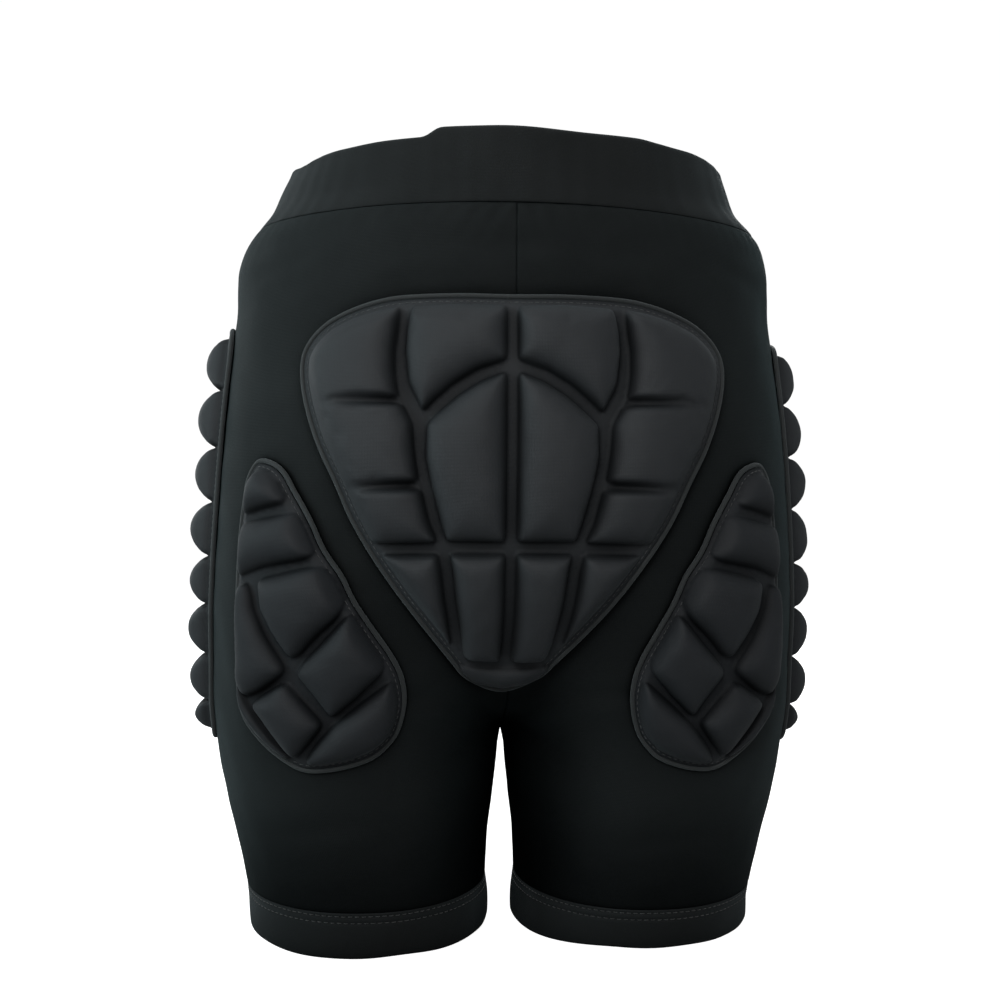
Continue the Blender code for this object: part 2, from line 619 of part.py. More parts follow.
def guard_loops(edge, cells, style):
    """The pattern's loops from the rim inwards, and the height of each above the form."""
    loops = [inset(edge, RIM_INSET), inset(edge, SEAM_INSET)]
    heights = [FLANGE_LIFT, FLANGE_LIFT]
    for cell, shoulder_in, crown_in in cells:
        cell = anticlockwise(cell)
        loops += [respaced(cell, style.cell_step),
                  respaced(inset(cell, shoulder_in), style.shoulder_step)]
        heights += [style.floor, style.shoulder]
        if crown_in:
            loops.append(respaced(inset(cell, crown_in), style.crown_step))
            heights.append(style.crown_edge)
        middle = np.average(inset(cell, crown_in or shoulder_in), axis=0)
        loops.append(middle[None, :])
        heights.append(style.crown if crown_in else style.shoulder + DOME_RISE)
    return loops, np.array(heights)


def guard(name, suffix, edge, cells, style, on_body, bridge=0.0):
    """Cover, foam and piping of one guard. cells holds (loop, shoulder in, crown in), and
    on_body(points) carries pattern points on to the form."""
    edge = anticlockwise(smooth_loop(edge, style.edge_points))
    loops, heights = guard_loops(edge, cells, style)
    pattern, faces, labels = triangulate(loops)
    base = on_body(pattern)
    out = outward(base, bridge)
    top = base + out * (heights[labels] * MM)[:, None]
    normals, reach = sheet_normals(top, faces, out)
    two_sided(f"{name}_cover{suffix}", top, top - normals * (COVER_WALL * MM), faces, COVER)

    # The foam leaves out the flange between the rim and the seam.
    inside = [f for f in faces if all(labels[v] != 0 for v in f)]
    used = sorted({v for f in inside for v in f})
    order = {v: i for i, v in enumerate(used)}
    foam_faces = [[order[v] for v in f] for f in inside]
    foam_top = (top - normals * (FOAM_UNDER * MM * reach)[:, None])[used]
    foam_foot = (base + out * (FOAM_FOOT * MM))[used]
    two_sided(f"{name}_foam{suffix}", foam_top, foam_foot, foam_faces, FOAM)

    # The cord's outside follows the guard's edge.
    base = on_body(inset(edge, PIPE_RADIUS))
    piping(f"{name}_piping{suffix}", base + outward(base, bridge) * (PIPE_LIFT * MM))


def on_leg(origin, rate, side):
    """Carries (mm round the leg, z) on to a leg."""
    def put(pattern):
        return round_leg(origin + pattern[:, 0] / rate, pattern[:, 1] * MM, side)
    return put


# ---------------------------------------------------------------- tailbone guard
def on_rear(pattern):
    """Carries (x, z) straight back on to the seat."""
    x, z = pattern[:, 0] * MM, pattern[:, 1] * MM
    y = bisect(lambda y: form(x, y, z, TAIL_BRIDGE * MM),
               np.full(len(x), -NEAR), np.full(len(x), -FAR))
    return np.stack([x, y, z], axis=1)


def tail_guard():
    cells = []
    for cell in TAIL_CELLS.values():
        for loop in (cell, [(-x, z) for x, z in reversed(cell)]):
            cells.append((loop, TAIL_STYLE.shoulder_in, TAIL_STYLE.crown_in))
    cells.append((with_mirror(TAIL_FLAP), TAIL_FLAP_SHOULDER_IN, None))
    guard("tail_pad", "", with_mirror(TAIL_EDGE), cells, TAIL_STYLE, on_rear, TAIL_BRIDGE * MM)


# ---------------------------------------------------------------- thigh guards
def thigh_guard(side_name, side):
    usual = (THIGH_STYLE.shoulder_in, THIGH_STYLE.crown_in)
    cells = [(cell, *THIGH_INSETS.get(key, usual)) for key, cell in THIGH_CELLS.items()]
    guard("thigh_pad", f"_{side_name}", THIGH_EDGE, cells, THIGH_STYLE,
          on_leg(THIGH_ORIGIN, THIGH_RATE, side))


# ---------------------------------------------------------------- hip guards
def hip_half(z, joints):
    """Half the hip guard's width at the height z."""
    t = (z - joints[-1]) / (joints[0] - joints[-1])
    end = HIP_HALF_FOOT if t < 0.5 else HIP_HALF_TOP
    return end + (HIP_HALF_MID - end) * math.sin(math.pi * t)


def hip_outline(joints):
    top, foot = joints[0] + HIP_END_MARGIN, joints[-1] - HIP_END_MARGIN
    sides_top, sides_foot = top - HIP_CORNER, foot + HIP_CORNER
    top_half, foot_half = hip_half(sides_top, joints), hip_half(sides_foot, joints)
    head = [(share * top_half, top + beyond) for share, beyond in HIP_END_CURVE]
    right = [(hip_half(z, joints), z) for z in np.linspace(sides_top, sides_foot, HIP_SIDE_ROWS)]
    tail = [(share * foot_half, foot - beyond) for share, beyond in reversed(HIP_END_CURVE)]
    return with_mirror(head + right + tail)


def hip_cells(joints):
    def lobe_half(z, joint):
        at_end = joint in (joints[0], joints[-1])
        return hip_half(z, joints) - (LOBE_END_MARGIN if at_end else LOBE_SIDE_MARGIN)

    cells = []
    for upper, lower in zip(joints[:-1], joints[1:]):
        top, foot = upper - LOBE_GAP_HALF, lower + LOBE_GAP_HALF
        top_half, foot_half = lobe_half(top, upper), lobe_half(foot, lower)
        loop = [(top_half, top), (-top_half, top), (-foot_half, foot), (foot_half, foot)]
        crown_in = min(HIP_STYLE.crown_in, LOBE_CROWN_SHARE * (top - foot))
        cells.append((loop, HIP_STYLE.shoulder_in, crown_in))
    return cells


def hip_guard(side_name, side):
    joints = HIP_JOINTS[side_name]
    guard("hip_pad", f"_{side_name}", hip_outline(joints), hip_cells(joints), HIP_STYLE,
          on_leg(HIP_ORIGIN, HIP_RATE, side))


# ---------------------------------------------------------------- centring
def centre_garment():
    """Moves every origin so that the outline seen from above is centred on x = 0, y = 0."""
    bpy.context.view_layer.update()
    graph = bpy.context.evaluated_depsgraph_get()
    lows, highs = [], []
    for obj in GARMENT.objects:
        shown = obj.evaluated_get(graph)
        mesh = shown.to_mesh()
        points = np.empty(len(mesh.vertices) * 3, np.float32)
        mesh.vertices.foreach_get("co", points)
        shown.to_mesh_clear()
        points = points.reshape(-1, 3).astype(float)
        lows.append(points.min(axis=0))
        highs.append(points.max(axis=0))
    middle = (np.min(lows, axis=0) + np.max(highs, axis=0)) / 2
    for obj in GARMENT.objects:
        obj.location = (-middle[0], -middle[1], 0.0)


# ---------------------------------------------------------------- build
for where, y_sign in (("back", -1.0), ("front", 1.0)):
    for side_name, side in SIDES:
        panel(f"{where}_panel_{side_name}", y_sign, side)

waistband_cover()
waistband_elastic()
for side_name, side in SIDES:
    leg_hem(f"leg_hem_{side_name}", side)

tail_guard()
for side_name, side in SIDES:
    thigh_guard(side_name, side)
    hip_guard(side_name, side)

centre_garment()
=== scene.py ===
"""Looks for the padded impact shorts: sewn stretch-knit shell, folded waistband, stitched hems and five
pillow-cell guards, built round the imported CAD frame.

The garment stands on its leg hems at z = 0 with +Z up. The rear faces -Y and the right leg is at +X.
The panels, bands and guards are all laid on one analytic body form.
Tables are in millimetres unless a comment says otherwise; geometry is in metres.
"""

import math

import bmesh
import bpy
import numpy as np
from mathutils import Matrix, Vector
from mathutils.geometry import delaunay_2d_cdt


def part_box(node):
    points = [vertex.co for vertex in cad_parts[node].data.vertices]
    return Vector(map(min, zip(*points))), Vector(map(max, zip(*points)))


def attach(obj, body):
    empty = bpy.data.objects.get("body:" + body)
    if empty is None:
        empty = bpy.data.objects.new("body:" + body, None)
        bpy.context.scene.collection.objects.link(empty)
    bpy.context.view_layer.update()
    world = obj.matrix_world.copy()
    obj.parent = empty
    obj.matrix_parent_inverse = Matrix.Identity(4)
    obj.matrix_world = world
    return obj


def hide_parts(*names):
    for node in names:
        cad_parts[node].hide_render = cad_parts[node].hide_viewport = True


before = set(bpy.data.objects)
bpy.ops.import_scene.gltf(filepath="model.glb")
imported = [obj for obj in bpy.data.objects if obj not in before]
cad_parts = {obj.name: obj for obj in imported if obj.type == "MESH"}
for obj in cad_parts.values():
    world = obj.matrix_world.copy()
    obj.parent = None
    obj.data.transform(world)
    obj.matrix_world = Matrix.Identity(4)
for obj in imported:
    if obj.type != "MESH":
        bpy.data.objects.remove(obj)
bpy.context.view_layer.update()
MM = 0.001

# ---------------------------------------------------------------- dimensions
HEM_TOP = 25.0 * MM
PANEL_FOOT = 25.5 * MM
PANEL_HEAD = 385.6 * MM
BAND_FOOT = 386.2 * MM
BAND_TOP = 423.2 * MM
SEAM_HALF = 0.012 * MM       # half the gap between two panels
FABRIC = 1.5 * MM
HEM_WALL = 2.4 * MM
CASING_WALL = 1.2 * MM
CASING_WIDE = 5.4 * MM       # waistband, outer face to inner face
PIPE_RADIUS = 1.25 * MM
PIPE_HIGH = 1.55 * MM        # height of the piping's middle over the body form
BRIDGE = 20.0 * MM           # extra blend between the legs under the tailbone guard

# Body form, one row per height: z, outer half width of a leg, inner edge of a leg, depth to the rear,
# depth to the front, blend radius between the two legs (mm) and the superellipse exponent.
PROFILE = [
    (-20.0, 141.5, 6.5, 75.5, 73.5, 2.0, 2.10),
    (0.0, 141.8, 6.8, 76.0, 74.0, 2.0, 2.10),
    (12.0, 142.0, 7.2, 76.8, 74.8, 2.0, 2.10),
    (26.0, 144.0, 8.2, 79.0, 76.8, 2.0, 2.10),
    (45.0, 147.8, 7.8, 82.5, 79.8, 2.2, 2.10),
    (70.0, 154.0, 5.0, 87.2, 83.8, 2.6, 2.12),
    (95.0, 158.8, 2.4, 91.5, 86.8, 4.5, 2.15),
    (113.5, 160.8, 1.2, 95.0, 89.0, 9.0, 2.20),
    (130.0, 162.0, -6.0, 99.0, 91.0, 26.0, 2.25),
    (150.0, 162.0, -16.0, 103.5, 93.5, 45.0, 2.30),
    (175.0, 162.5, -28.0, 108.5, 96.0, 60.0, 2.32),
    (200.0, 162.0, -38.0, 112.0, 98.0, 70.0, 2.32),
    (240.0, 160.0, -48.0, 114.0, 99.0, 80.0, 2.32),
    (280.0, 157.2, -54.0, 112.0, 98.5, 85.0, 2.30),
    (320.0, 153.2, -58.0, 107.5, 96.5, 85.0, 2.25),
    (346.0, 150.8, -60.0, 104.5, 95.0, 85.0, 2.22),
    (360.0, 150.8, -63.0, 103.2, 94.8, 85.0, 2.18),
    (376.0, 146.8, -68.0, 101.5, 93.8, 85.0, 2.12),
    (388.0, 139.8, -75.0, 98.5, 91.5, 85.0, 2.08),
    (398.0, 131.2, -80.0, 96.0, 89.5, 85.0, 2.04),
    (411.0, 123.5, -85.0, 94.0, 88.0, 85.0, 2.02),
    (423.5, 117.2, -88.0, 93.0, 87.0, 85.0, 2.00),
    (440.0, 115.0, -88.0, 92.5, 86.5, 85.0, 2.00),
]

# Soft creases on the rear: x1, z1, x2, z2, half width and depth in mm.
REAR_CREASES = [
    (22, 139, 78, 142, 5.0, -0.9), (26, 131, 66, 133, 4.0, 0.6),
    (-24, 138, -70, 141, 5.0, -0.7), (-28, 130, -60, 131, 4.0, 0.5),
    (8, 118, 40, 100, 4.0, -0.6), (-8, 117, -38, 98, 4.0, -0.6),
    (60, 60, 120, 66, 6.0, -0.5), (-60, 74, -118, 66, 6.0, -0.5),
    (-96, 366, -138, 352, 5.0, -0.6), (100, 364, 138, 350, 5.0, -0.6),
    (-30, 366, 34, 364, 6.0, -0.45), (-70, 352, -20, 356, 7.0, 0.4), (30, 354, 84, 350, 7.0, 0.4),
]
# And on the front, where they fan out from the crotch and hang below the waistband.
FRONT_CREASES = [
    (10, 150, 62, 178, 5.0, -1.0), (-10, 152, -66, 172, 5.0, -1.0), (12, 162, 58, 196, 4.5, 0.7),
    (-12, 164, -60, 192, 4.5, 0.7), (12, 138, 74, 146, 5.0, -0.8), (-12, 137, -70, 150, 5.0, -0.8),
    (12, 122, 46, 96, 4.5, -0.7), (-12, 120, -44, 98, 4.5, -0.7), (-60, 360, -24, 338, 6.0, -0.5),
    (56, 362, 30, 336, 6.0, -0.5), (-106, 352, -130, 330, 6.0, -0.5), (104, 354, 128, 330, 6.0, -0.5),
]

# Tailbone guard, right half, as (x, z): outer edge from the top centre round to the foot, then the
# pillow cells between the stitched channels. The left half mirrors it.
TAIL_EDGE = [
    (0, 337), (28, 337.5), (54, 337), (68, 335), (81, 331), (92, 325.5), (100, 318), (104.5, 309),
    (105, 297), (102, 281), (96, 263), (88, 246), (80, 228), (70, 211), (58, 194), (46, 179),
    (34, 165), (27.5, 157.5), (22, 151), (14, 146), (6, 142.5), (0, 141.5),
]
TAIL_CELLS = {
    "outer": [(55.2, 330), (66, 328.5), (78, 325), (88, 320), (94.5, 313.5), (98.3, 306.5),
              (98.7, 297), (97, 287.6), (95.6, 281), (91, 266), (83.5, 250), (79, 240.2),
              (74, 229.5), (68, 218.5), (50, 219), (36.5, 219.6), (40.5, 228), (44, 242.2),
              (46.2, 250), (48.0, 262), (48.8, 274), (52.2, 280.5), (56.2, 288.8), (57.5, 298),
              (57.6, 309), (56, 320)],
    "top_inner": [(3.2, 330), (26, 331), (48.5, 330), (50.8, 318), (51.3, 308), (49.5, 293),
                  (43, 280.5), (38.5, 285.2), (29.3, 293), (17.2, 300.3), (3.2, 304.8)],
    "shield": [(3.2, 298.2), (15, 293.8), (25.7, 287.2), (34.3, 280), (40.8, 274), (41.2, 258.5),
               (38.3, 245.2), (34, 229), (31.3, 220.3), (3.2, 220.3)],
    "finger_inner": [(3.2, 213.8), (29.5, 213.6), (28.2, 207.5), (26.7, 193), (24.2, 178),
                     (21.8, 165.3), (20.8, 162.8), (3.2, 162.8)],
    "finger_outer": [(36.2, 213.2), (52, 212.8), (63.6, 212.3), (52.2, 197.1), (40, 182.6),
                     (30.6, 171.5), (29.2, 169.5), (30.8, 178), (33.3, 193), (34.7, 206)],
}
TAIL_FLAP = [(0, 157.6), (14, 157.6), (24.0, 157.2), (20.4, 152), (12.6, 147.9), (0, 146.4)]
# Two slits in the outer cell that die out before its edge: points, half width, depth at start and end.
TAIL_SLITS = [([(50.0, 285.0), (70.0, 284.8), (87.0, 284.0)], 2.3, 7.8, 0.9),
              ([(44.0, 245.6), (60.0, 245.4), (77.0, 244.2)], 2.4, 8.4, 1.4)]

# Rear thigh guard as (s, z), where s runs round the leg towards the crotch.
THIGH_ORIGIN = 75.0          # degrees round the leg where s = 0
THIGH_RATE = 1.9             # mm of s for each degree
THIGH_EDGE = [
    (-46, 258), (-36, 257), (-28, 252), (-21, 243), (-11, 229), (-2, 214), (8, 202), (17, 189),
    (30, 175), (42, 163), (51, 152), (57, 140), (59, 128), (57, 118), (47, 109), (32, 104),
    (13, 101), (0, 101.5), (-13, 107), (-28, 116.5), (-42, 129), (-48, 147), (-50.5, 167),
    (-53, 193), (-54.5, 217), (-54, 236), (-52.5, 249),
]
THIGH_CELLS = {
    "tip": [(-47, 246), (-42.5, 251), (-37, 250.5), (-31, 245.5), (-25, 237.3), (-36, 234.8),
            (-48, 231.5)],
    "upper": [(-48.5, 224.2), (-34, 227.2), (-18.5, 230), (-13.5, 222), (-7.5, 212), (-12, 210),
              (-31, 206.2), (-47.3, 200.5), (-48.5, 212)],
    "heart": [(-32, 197.5), (-20, 200.8), (-9, 203.6), (-2, 204), (4, 198.3), (10.5, 188.5),
              (8.3, 182), (-1, 171.5), (-6.3, 163.5), (-10, 162), (-20, 173), (-28.5, 185)],
    "strip": [(-46.8, 193.2), (-40.5, 195.5), (-38.5, 192), (-35, 183), (-26, 169.7),
              (-14.3, 156.6), (-13, 154), (-24, 144.8), (-34, 140.5), (-41, 147.5), (-42.3, 158),
              (-44.3, 172), (-45.8, 185)],
    "diamond": [(15.5, 182), (24.5, 171.5), (36, 159.5), (38, 156), (27, 142.8), (17.2, 133),
                (5, 144.5), (-4.5, 153.2), (-3, 157), (5, 167.5)],
    "lower": [(-11, 147), (-1, 138.5), (12, 127.8), (5.5, 118), (-1.3, 110.6), (-12.3, 121.5),
              (-27.5, 135.8), (-24, 138.6)],
    "crescent": [(-43, 145), (-33.2, 134.5), (-15.8, 118.3), (-5.5, 109.3), (-12, 112),
                 (-26.2, 121), (-38.2, 132)],
    "heel": [(45, 149), (50.5, 138.5), (52.5, 128), (50.5, 121.5), (43.5, 115), (30, 110),
             (13, 107), (6, 107.2), (12, 116.5), (20, 126.8), (32.5, 138.5)],
}

# Hip guard: lobe joints from the top down; left and right are sewn on by eye and differ.
HIP_ORIGIN = -2.0            # degrees round the leg of the guard's middle line
HIP_RATE = 2.0               # mm of s for each degree
LOBES_LEFT = [327, 297.3, 265.9, 236.3, 206.8, 180.5, 153.1, 127.3, 110.1]
LOBES_RIGHT = [322.1, 292.3, 263, 234.3, 204.5, 179.4, 151.6, 124, 107.5]
HIP_END_MARGIN = 6.0
HIP_CORNER = 16.0
HIP_HALF_TOP = 45.0
HIP_HALF_MID = 56.0
HIP_HALF_FOOT = 47.0
LOBE_JOINT_HALF = 1.1
LOBE_SIDE_MARGIN = 5.6
LOBE_END_MARGIN = 13.0       # side margin at the rounded ends of the first and last lobe

# Pillow sections of the cells (mm): a steep wall, then a dome, and how wide each one rises.
TAIL_PILLOW = dict(wall=3.4, dome=6.6, wall_wide=3.0, dome_wide=14.5)
FINGER_PILLOW = dict(wall=3.4, dome=5.6, wall_wide=3.0, dome_wide=10.5)
FLAP_PILLOW = dict(wall=2.2, dome=2.4, wall_wide=2.4, dome_wide=5.0)
THIGH_PILLOW = dict(wall=2.3, dome=6.2, wall_wide=2.6, dome_wide=12.5)
CRESCENT_PILLOW = dict(wall=2.2, dome=3.4, wall_wide=2.4, dome_wide=6.0)
THIGH_TOP_PILLOW = dict(wall=1.5, dome=6.0, wall_wide=2.4, dome_wide=12.5)
LOBE_PILLOW = dict(wall=1.5, wall_wide=2.2, dome_wide=14.0)
LOBE_DOME_RIGHT, LOBE_DOME_LEFT = 8.4, 9.6

# Where the CAD frame has the crossing of the four panel seams.
_, left_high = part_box("back_panel_left")
right_low, right_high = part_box("back_panel_right")
front_low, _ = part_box("front_panel_right")
SHIFT = np.array([(left_high[0] + right_low[0]) / 2, (right_high[1] + front_low[1]) / 2, 0.0])


# ---------------------------------------------------------------- curves
def smoothstep(x, low, high):
    t = np.clip((np.asarray(x, float) - low) / (high - low), 0, 1)
    return t * t * (3 - 2 * t)


def bell(offset, width):
    return np.exp(-((offset / width) ** 2))


def ripple(x, y, z, seed, wave):
    """Smooth made-up unevenness from -1 to 1, a sum of slanted sine waves."""
    rng = np.random.default_rng(seed)
    total = np.zeros(np.shape(x))
    for _ in range(6):
        slant = rng.normal(size=3)
        slant /= np.linalg.norm(slant)
        rate = 2 * np.pi / (wave * rng.uniform(0.7, 1.6))
        along = slant[0] * x + slant[1] * y + slant[2] * z
        total = total + np.sin(rate * along + rng.uniform(0, 6.28))
    return total / 3.2


def bisect(value, inside, outside, steps=46):
    """Where value crosses zero between inside (negative) and outside, element by element."""
    inside, outside = np.array(inside, float), np.array(outside, float)
    for _ in range(steps):
        middle = (inside + outside) / 2
        negative = value(middle) < 0
        inside, outside = np.where(negative, middle, inside), np.where(negative, outside, middle)
    return (inside + outside) / 2


def run_lengths(points):
    """Length along the line up to each of its points."""
    steps = np.linalg.norm(np.diff(points, axis=0), axis=1)
    return np.concatenate([[0], np.cumsum(steps)])


def sample(points, run, want):
    return np.stack([np.interp(want, run, column) for column in points.T], axis=1)


def even(points, count):
    """The closed loop as evenly spaced points."""
    closed = np.vstack([points, points[:1]])
    run = run_lengths(closed)
    return sample(closed, run, np.linspace(0, run[-1], count, endpoint=False))


def perimeter(loop):
    return float(np.linalg.norm(np.roll(loop, -1, axis=0) - loop, axis=1).sum())


def loop_normals(loop):
    """Outward unit normals of a loop in the plane."""
    ahead = np.roll(loop, -1, axis=0) - np.roll(loop, 1, axis=0)
    normal = np.stack([ahead[:, 1], -ahead[:, 0]], axis=1)
    normal /= np.linalg.norm(normal, axis=1)[:, None]
    return normal if ((loop - loop.mean(axis=0)) * normal).sum() > 0 else -normal


def anticlockwise(loop):
    loop = np.asarray(loop, float)
    x, y = loop[:, 0], loop[:, 1]
    area = (x * np.roll(y, -1) - np.roll(x, -1) * y).sum()
    return loop if area > 0 else loop[::-1]


def inset(loop, by):
    """The anticlockwise loop moved inwards, with long corners cut short."""
    before = loop - np.roll(loop, 1, axis=0)
    after = np.roll(loop, -1, axis=0) - loop
    before /= np.linalg.norm(before, axis=1)[:, None]
    after /= np.linalg.norm(after, axis=1)[:, None]
    normal_before = np.stack([-before[:, 1], before[:, 0]], axis=1)
    normal_after = np.stack([-after[:, 1], after[:, 0]], axis=1)
    inwards = normal_before + normal_after
    inwards /= np.maximum(np.linalg.norm(inwards, axis=1)[:, None], 1e-9)
    reach = by / np.clip((inwards * normal_before).sum(axis=1), 0.62, 1.0)
    return loop + inwards * reach[:, None]


def smooth_loop(points, count):
    """A closed Catmull-Rom curve through the points, evenly spaced."""
    knots = np.asarray(points, float)
    t = np.linspace(0, 1, 12, endpoint=False)[:, None]
    made = []
    for i in range(len(knots)):
        a, b, c, d = (knots[(i + step) % len(knots)] for step in (-1, 0, 1, 2))
        made.append(0.5 * (2 * b + (c - a) * t + (2 * a - 5 * b + 4 * c - d) * t**2
                           + (3 * b - a - 3 * c + d) * t**3))
    return even(np.vstack(made), count)


def rounded(loop, radius):
    """The loop at an even step with its corners rounded by a Gaussian."""
    step = 0.8
    points = even(anticlockwise(loop), max(24, int(perimeter(np.asarray(loop, float)) / step)))
    sigma = radius / step
    offsets = np.arange(-int(3 * sigma) - 1, int(3 * sigma) + 2)
    weights = np.exp(-((offsets / sigma) ** 2) / 2)
    weights /= weights.sum()
    return sum(weight * np.roll(points, i, axis=0) for weight, i in zip(weights, offsets))


def flipped(points):
    """The table's points mirrored in x, in reverse order."""
    return [(-x, z) for x, z in reversed(points)]


def mirrored(points, left):
    return points * np.array([-1.0, 1.0, 1.0]) if left else points


# ---------------------------------------------------------------- body form
ROWS = np.array(PROFILE, float)
ROWS[:, :6] *= MM
OUTER, INNER = 1, 2          # columns of the profile
FRONT_BLEND = 0.012          # how gradually the rear depth gives way to the front depth


def slopes(heights, values):
    """Slopes at the stations that keep the cubic from overshooting them."""
    step = np.diff(heights)
    grade = np.diff(values) / step
    made = np.empty_like(values)
    made[0], made[-1] = grade[0], grade[-1]
    for i in range(1, len(values) - 1):
        if grade[i - 1] * grade[i] <= 0:
            made[i] = 0.0
        else:
            w1 = 2 * step[i] + step[i - 1]
            w2 = step[i] + 2 * step[i - 1]
            made[i] = (w1 + w2) / (w1 / grade[i - 1] + w2 / grade[i])
    return made


SLOPES = [None] + [slopes(ROWS[:, 0], ROWS[:, column]) for column in range(1, 7)]


def profile(column, z):
    """Monotone cubic through the table's column at the heights z."""
    heights, values, slope = ROWS[:, 0], ROWS[:, column], SLOPES[column]
    z = np.asarray(z, float)
    i = np.clip(np.searchsorted(heights, z) - 1, 0, len(heights) - 2)
    step = heights[i + 1] - heights[i]
    t = np.clip((z - heights[i]) / step, 0, 1)
    t2, t3 = t * t, t * t * t
    return ((2 * t3 - 3 * t2 + 1) * values[i] + (t3 - 2 * t2 + t) * step * slope[i]
            + (3 * t2 - 2 * t3) * values[i + 1] + (t3 - t2) * step * slope[i + 1])


def leg_centre(z):
    return (profile(OUTER, z) + profile(INNER, z)) / 2


def form(x, y, z, bridge=0.0):
    """Signed distance, near enough, to the garment's outer surface: negative inside."""
    outer, inner, rear, front, blend, power = (profile(column, z) for column in range(1, 7))
    blend = blend + bridge
    centre = (outer + inner) / 2
    half = (outer - inner) / 2
    ahead = 1 / (1 + np.exp(-np.clip(y / FRONT_BLEND, -30, 30)))
    depth = rear * (1 - ahead) + front * ahead

    def leg(leg_x):
        u, v = np.abs(leg_x - centre) / half, np.abs(y) / depth
        reach = (u**power + v**power) ** (1 / power)
        steep = np.sqrt((u ** (power - 1) / half) ** 2 + (v ** (power - 1) / depth) ** 2)
        return (reach - 1) / np.maximum(steep / np.maximum(reach, 1e-9) ** (power - 1), 1e-6)

    right, left = leg(x), leg(-x)
    near = np.maximum(blend - np.abs(right - left), 0) / blend
    return np.minimum(right, left) - near * near * blend * 0.25


def outward(points, bridge=0.0):
    """Unit normals of the form at the points."""
    x, y, z = points.T
    e = 2e-4
    gradient = np.stack([
        form(x + e, y, z, bridge) - form(x - e, y, z, bridge),
        form(x, y + e, z, bridge) - form(x, y - e, z, bridge),
        form(x, y, z + e, bridge) - form(x, y, z - e, bridge),
    ], axis=1)
    return gradient / np.linalg.norm(gradient, axis=1)[:, None]


def own_side(centre, cos):
    """How far a ray from the leg's centre may run before it would cross into the other leg."""
    return np.where(cos < -1e-6, np.minimum((centre - SEAM_HALF) / np.maximum(-cos, 1e-6), 0.2), 0.2)


def round_leg(degrees, z, side=1.0):
    """Points on the form at an angle round the leg: 0 is outwards, 90 the rear. side -1 is the left."""
    angle = np.radians(degrees)
    centre = leg_centre(z)
    cos, sin = np.cos(angle), -np.sin(angle)
    radius = bisect(lambda r: form(centre + r * cos, r * sin, z), np.full(len(z), 0.01),
                    own_side(centre, cos))
    return np.stack([side * (centre + radius * cos), radius * sin, z], axis=1)


# ---------------------------------------------------------------- meshes
def normals_of(points, faces):
    """Area-weighted vertex normals for triangles or quads given as an integer array."""
    corners = [points[column] for column in faces.T]
    if len(corners) == 3:
        flat = np.cross(corners[1] - corners[0], corners[2] - corners[0])
    else:
        flat = np.cross(corners[2] - corners[0], corners[3] - corners[1])
    normals = np.zeros_like(points)
    for column in faces.T:
        np.add.at(normals, column, flat)
    return normals / np.maximum(np.linalg.norm(normals, axis=1), 1e-15)[:, None]


def faced(points, faces, outwards):
    """The faces, turned over if they look against the outward vectors."""
    return faces[:, ::-1] if (normals_of(points, faces) * outwards).sum() < 0 else faces


def border(faces):
    """Directed border edges of a sheet."""
    start = faces.reshape(-1)
    end = np.roll(faces, -1, axis=1).reshape(-1)
    base = int(faces.max()) + 1
    alone = ~np.isin(start * base + end, end * base + start)
    return np.stack([start[alone], end[alone]], axis=1)


def closed_between(top, back, faces, uv):
    """A closed body between two sheets with the same faces: its points, faces and uv."""
    count = len(top)
    start, end = border(faces).T
    walls = np.stack([end, start, start + count, end + count], axis=1)
    every = [list(f) for f in faces] + [list(f) for f in faces[:, ::-1] + count]
    every += [list(f) for f in walls]
    return np.vstack([top, back]), every, np.vstack([uv, uv])


def closed_sheet(points, faces, wall, uv):
    """A sheet given a wall thickness behind it."""
    return closed_between(points, points - normals_of(points, faces) * wall, faces, uv)


def grid_faces(rows, columns, closed=False):
    i, j = np.meshgrid(np.arange(columns if closed else columns - 1), np.arange(rows - 1))
    i, j = i.ravel(), j.ravel()
    k = (i + 1) % columns
    return np.stack([j * columns + i, j * columns + k, (j + 1) * columns + k,
                     (j + 1) * columns + i], axis=1)


def add_piece(name, points, faces, uv, material, slot, *nodes, mesh_name=None):
    """A smooth mesh object with its uv, parented to the root body, with the CAD nodes it replaces
    hidden.
    """
    mesh = bpy.data.meshes.new(mesh_name or name)
    mesh.from_pydata(points.tolist(), [], [list(map(int, f)) for f in faces])
    mesh.update()
    mesh.polygons.foreach_set("use_smooth", [True] * len(mesh.polygons))
    layer = mesh.uv_layers.new(name="UVMap")
    index = np.empty(len(mesh.loops), np.int32)
    mesh.loops.foreach_get("vertex_index", index)
    layer.data.foreach_set("uv", np.asarray(uv, np.float32)[index].ravel())
    mesh.materials.append(material)
    piece = bpy.data.objects.new(name, mesh)
    bpy.context.scene.collection.objects.link(piece)
    piece.location = SHIFT
    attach(piece, "root")
    if nodes:
        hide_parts(*nodes)


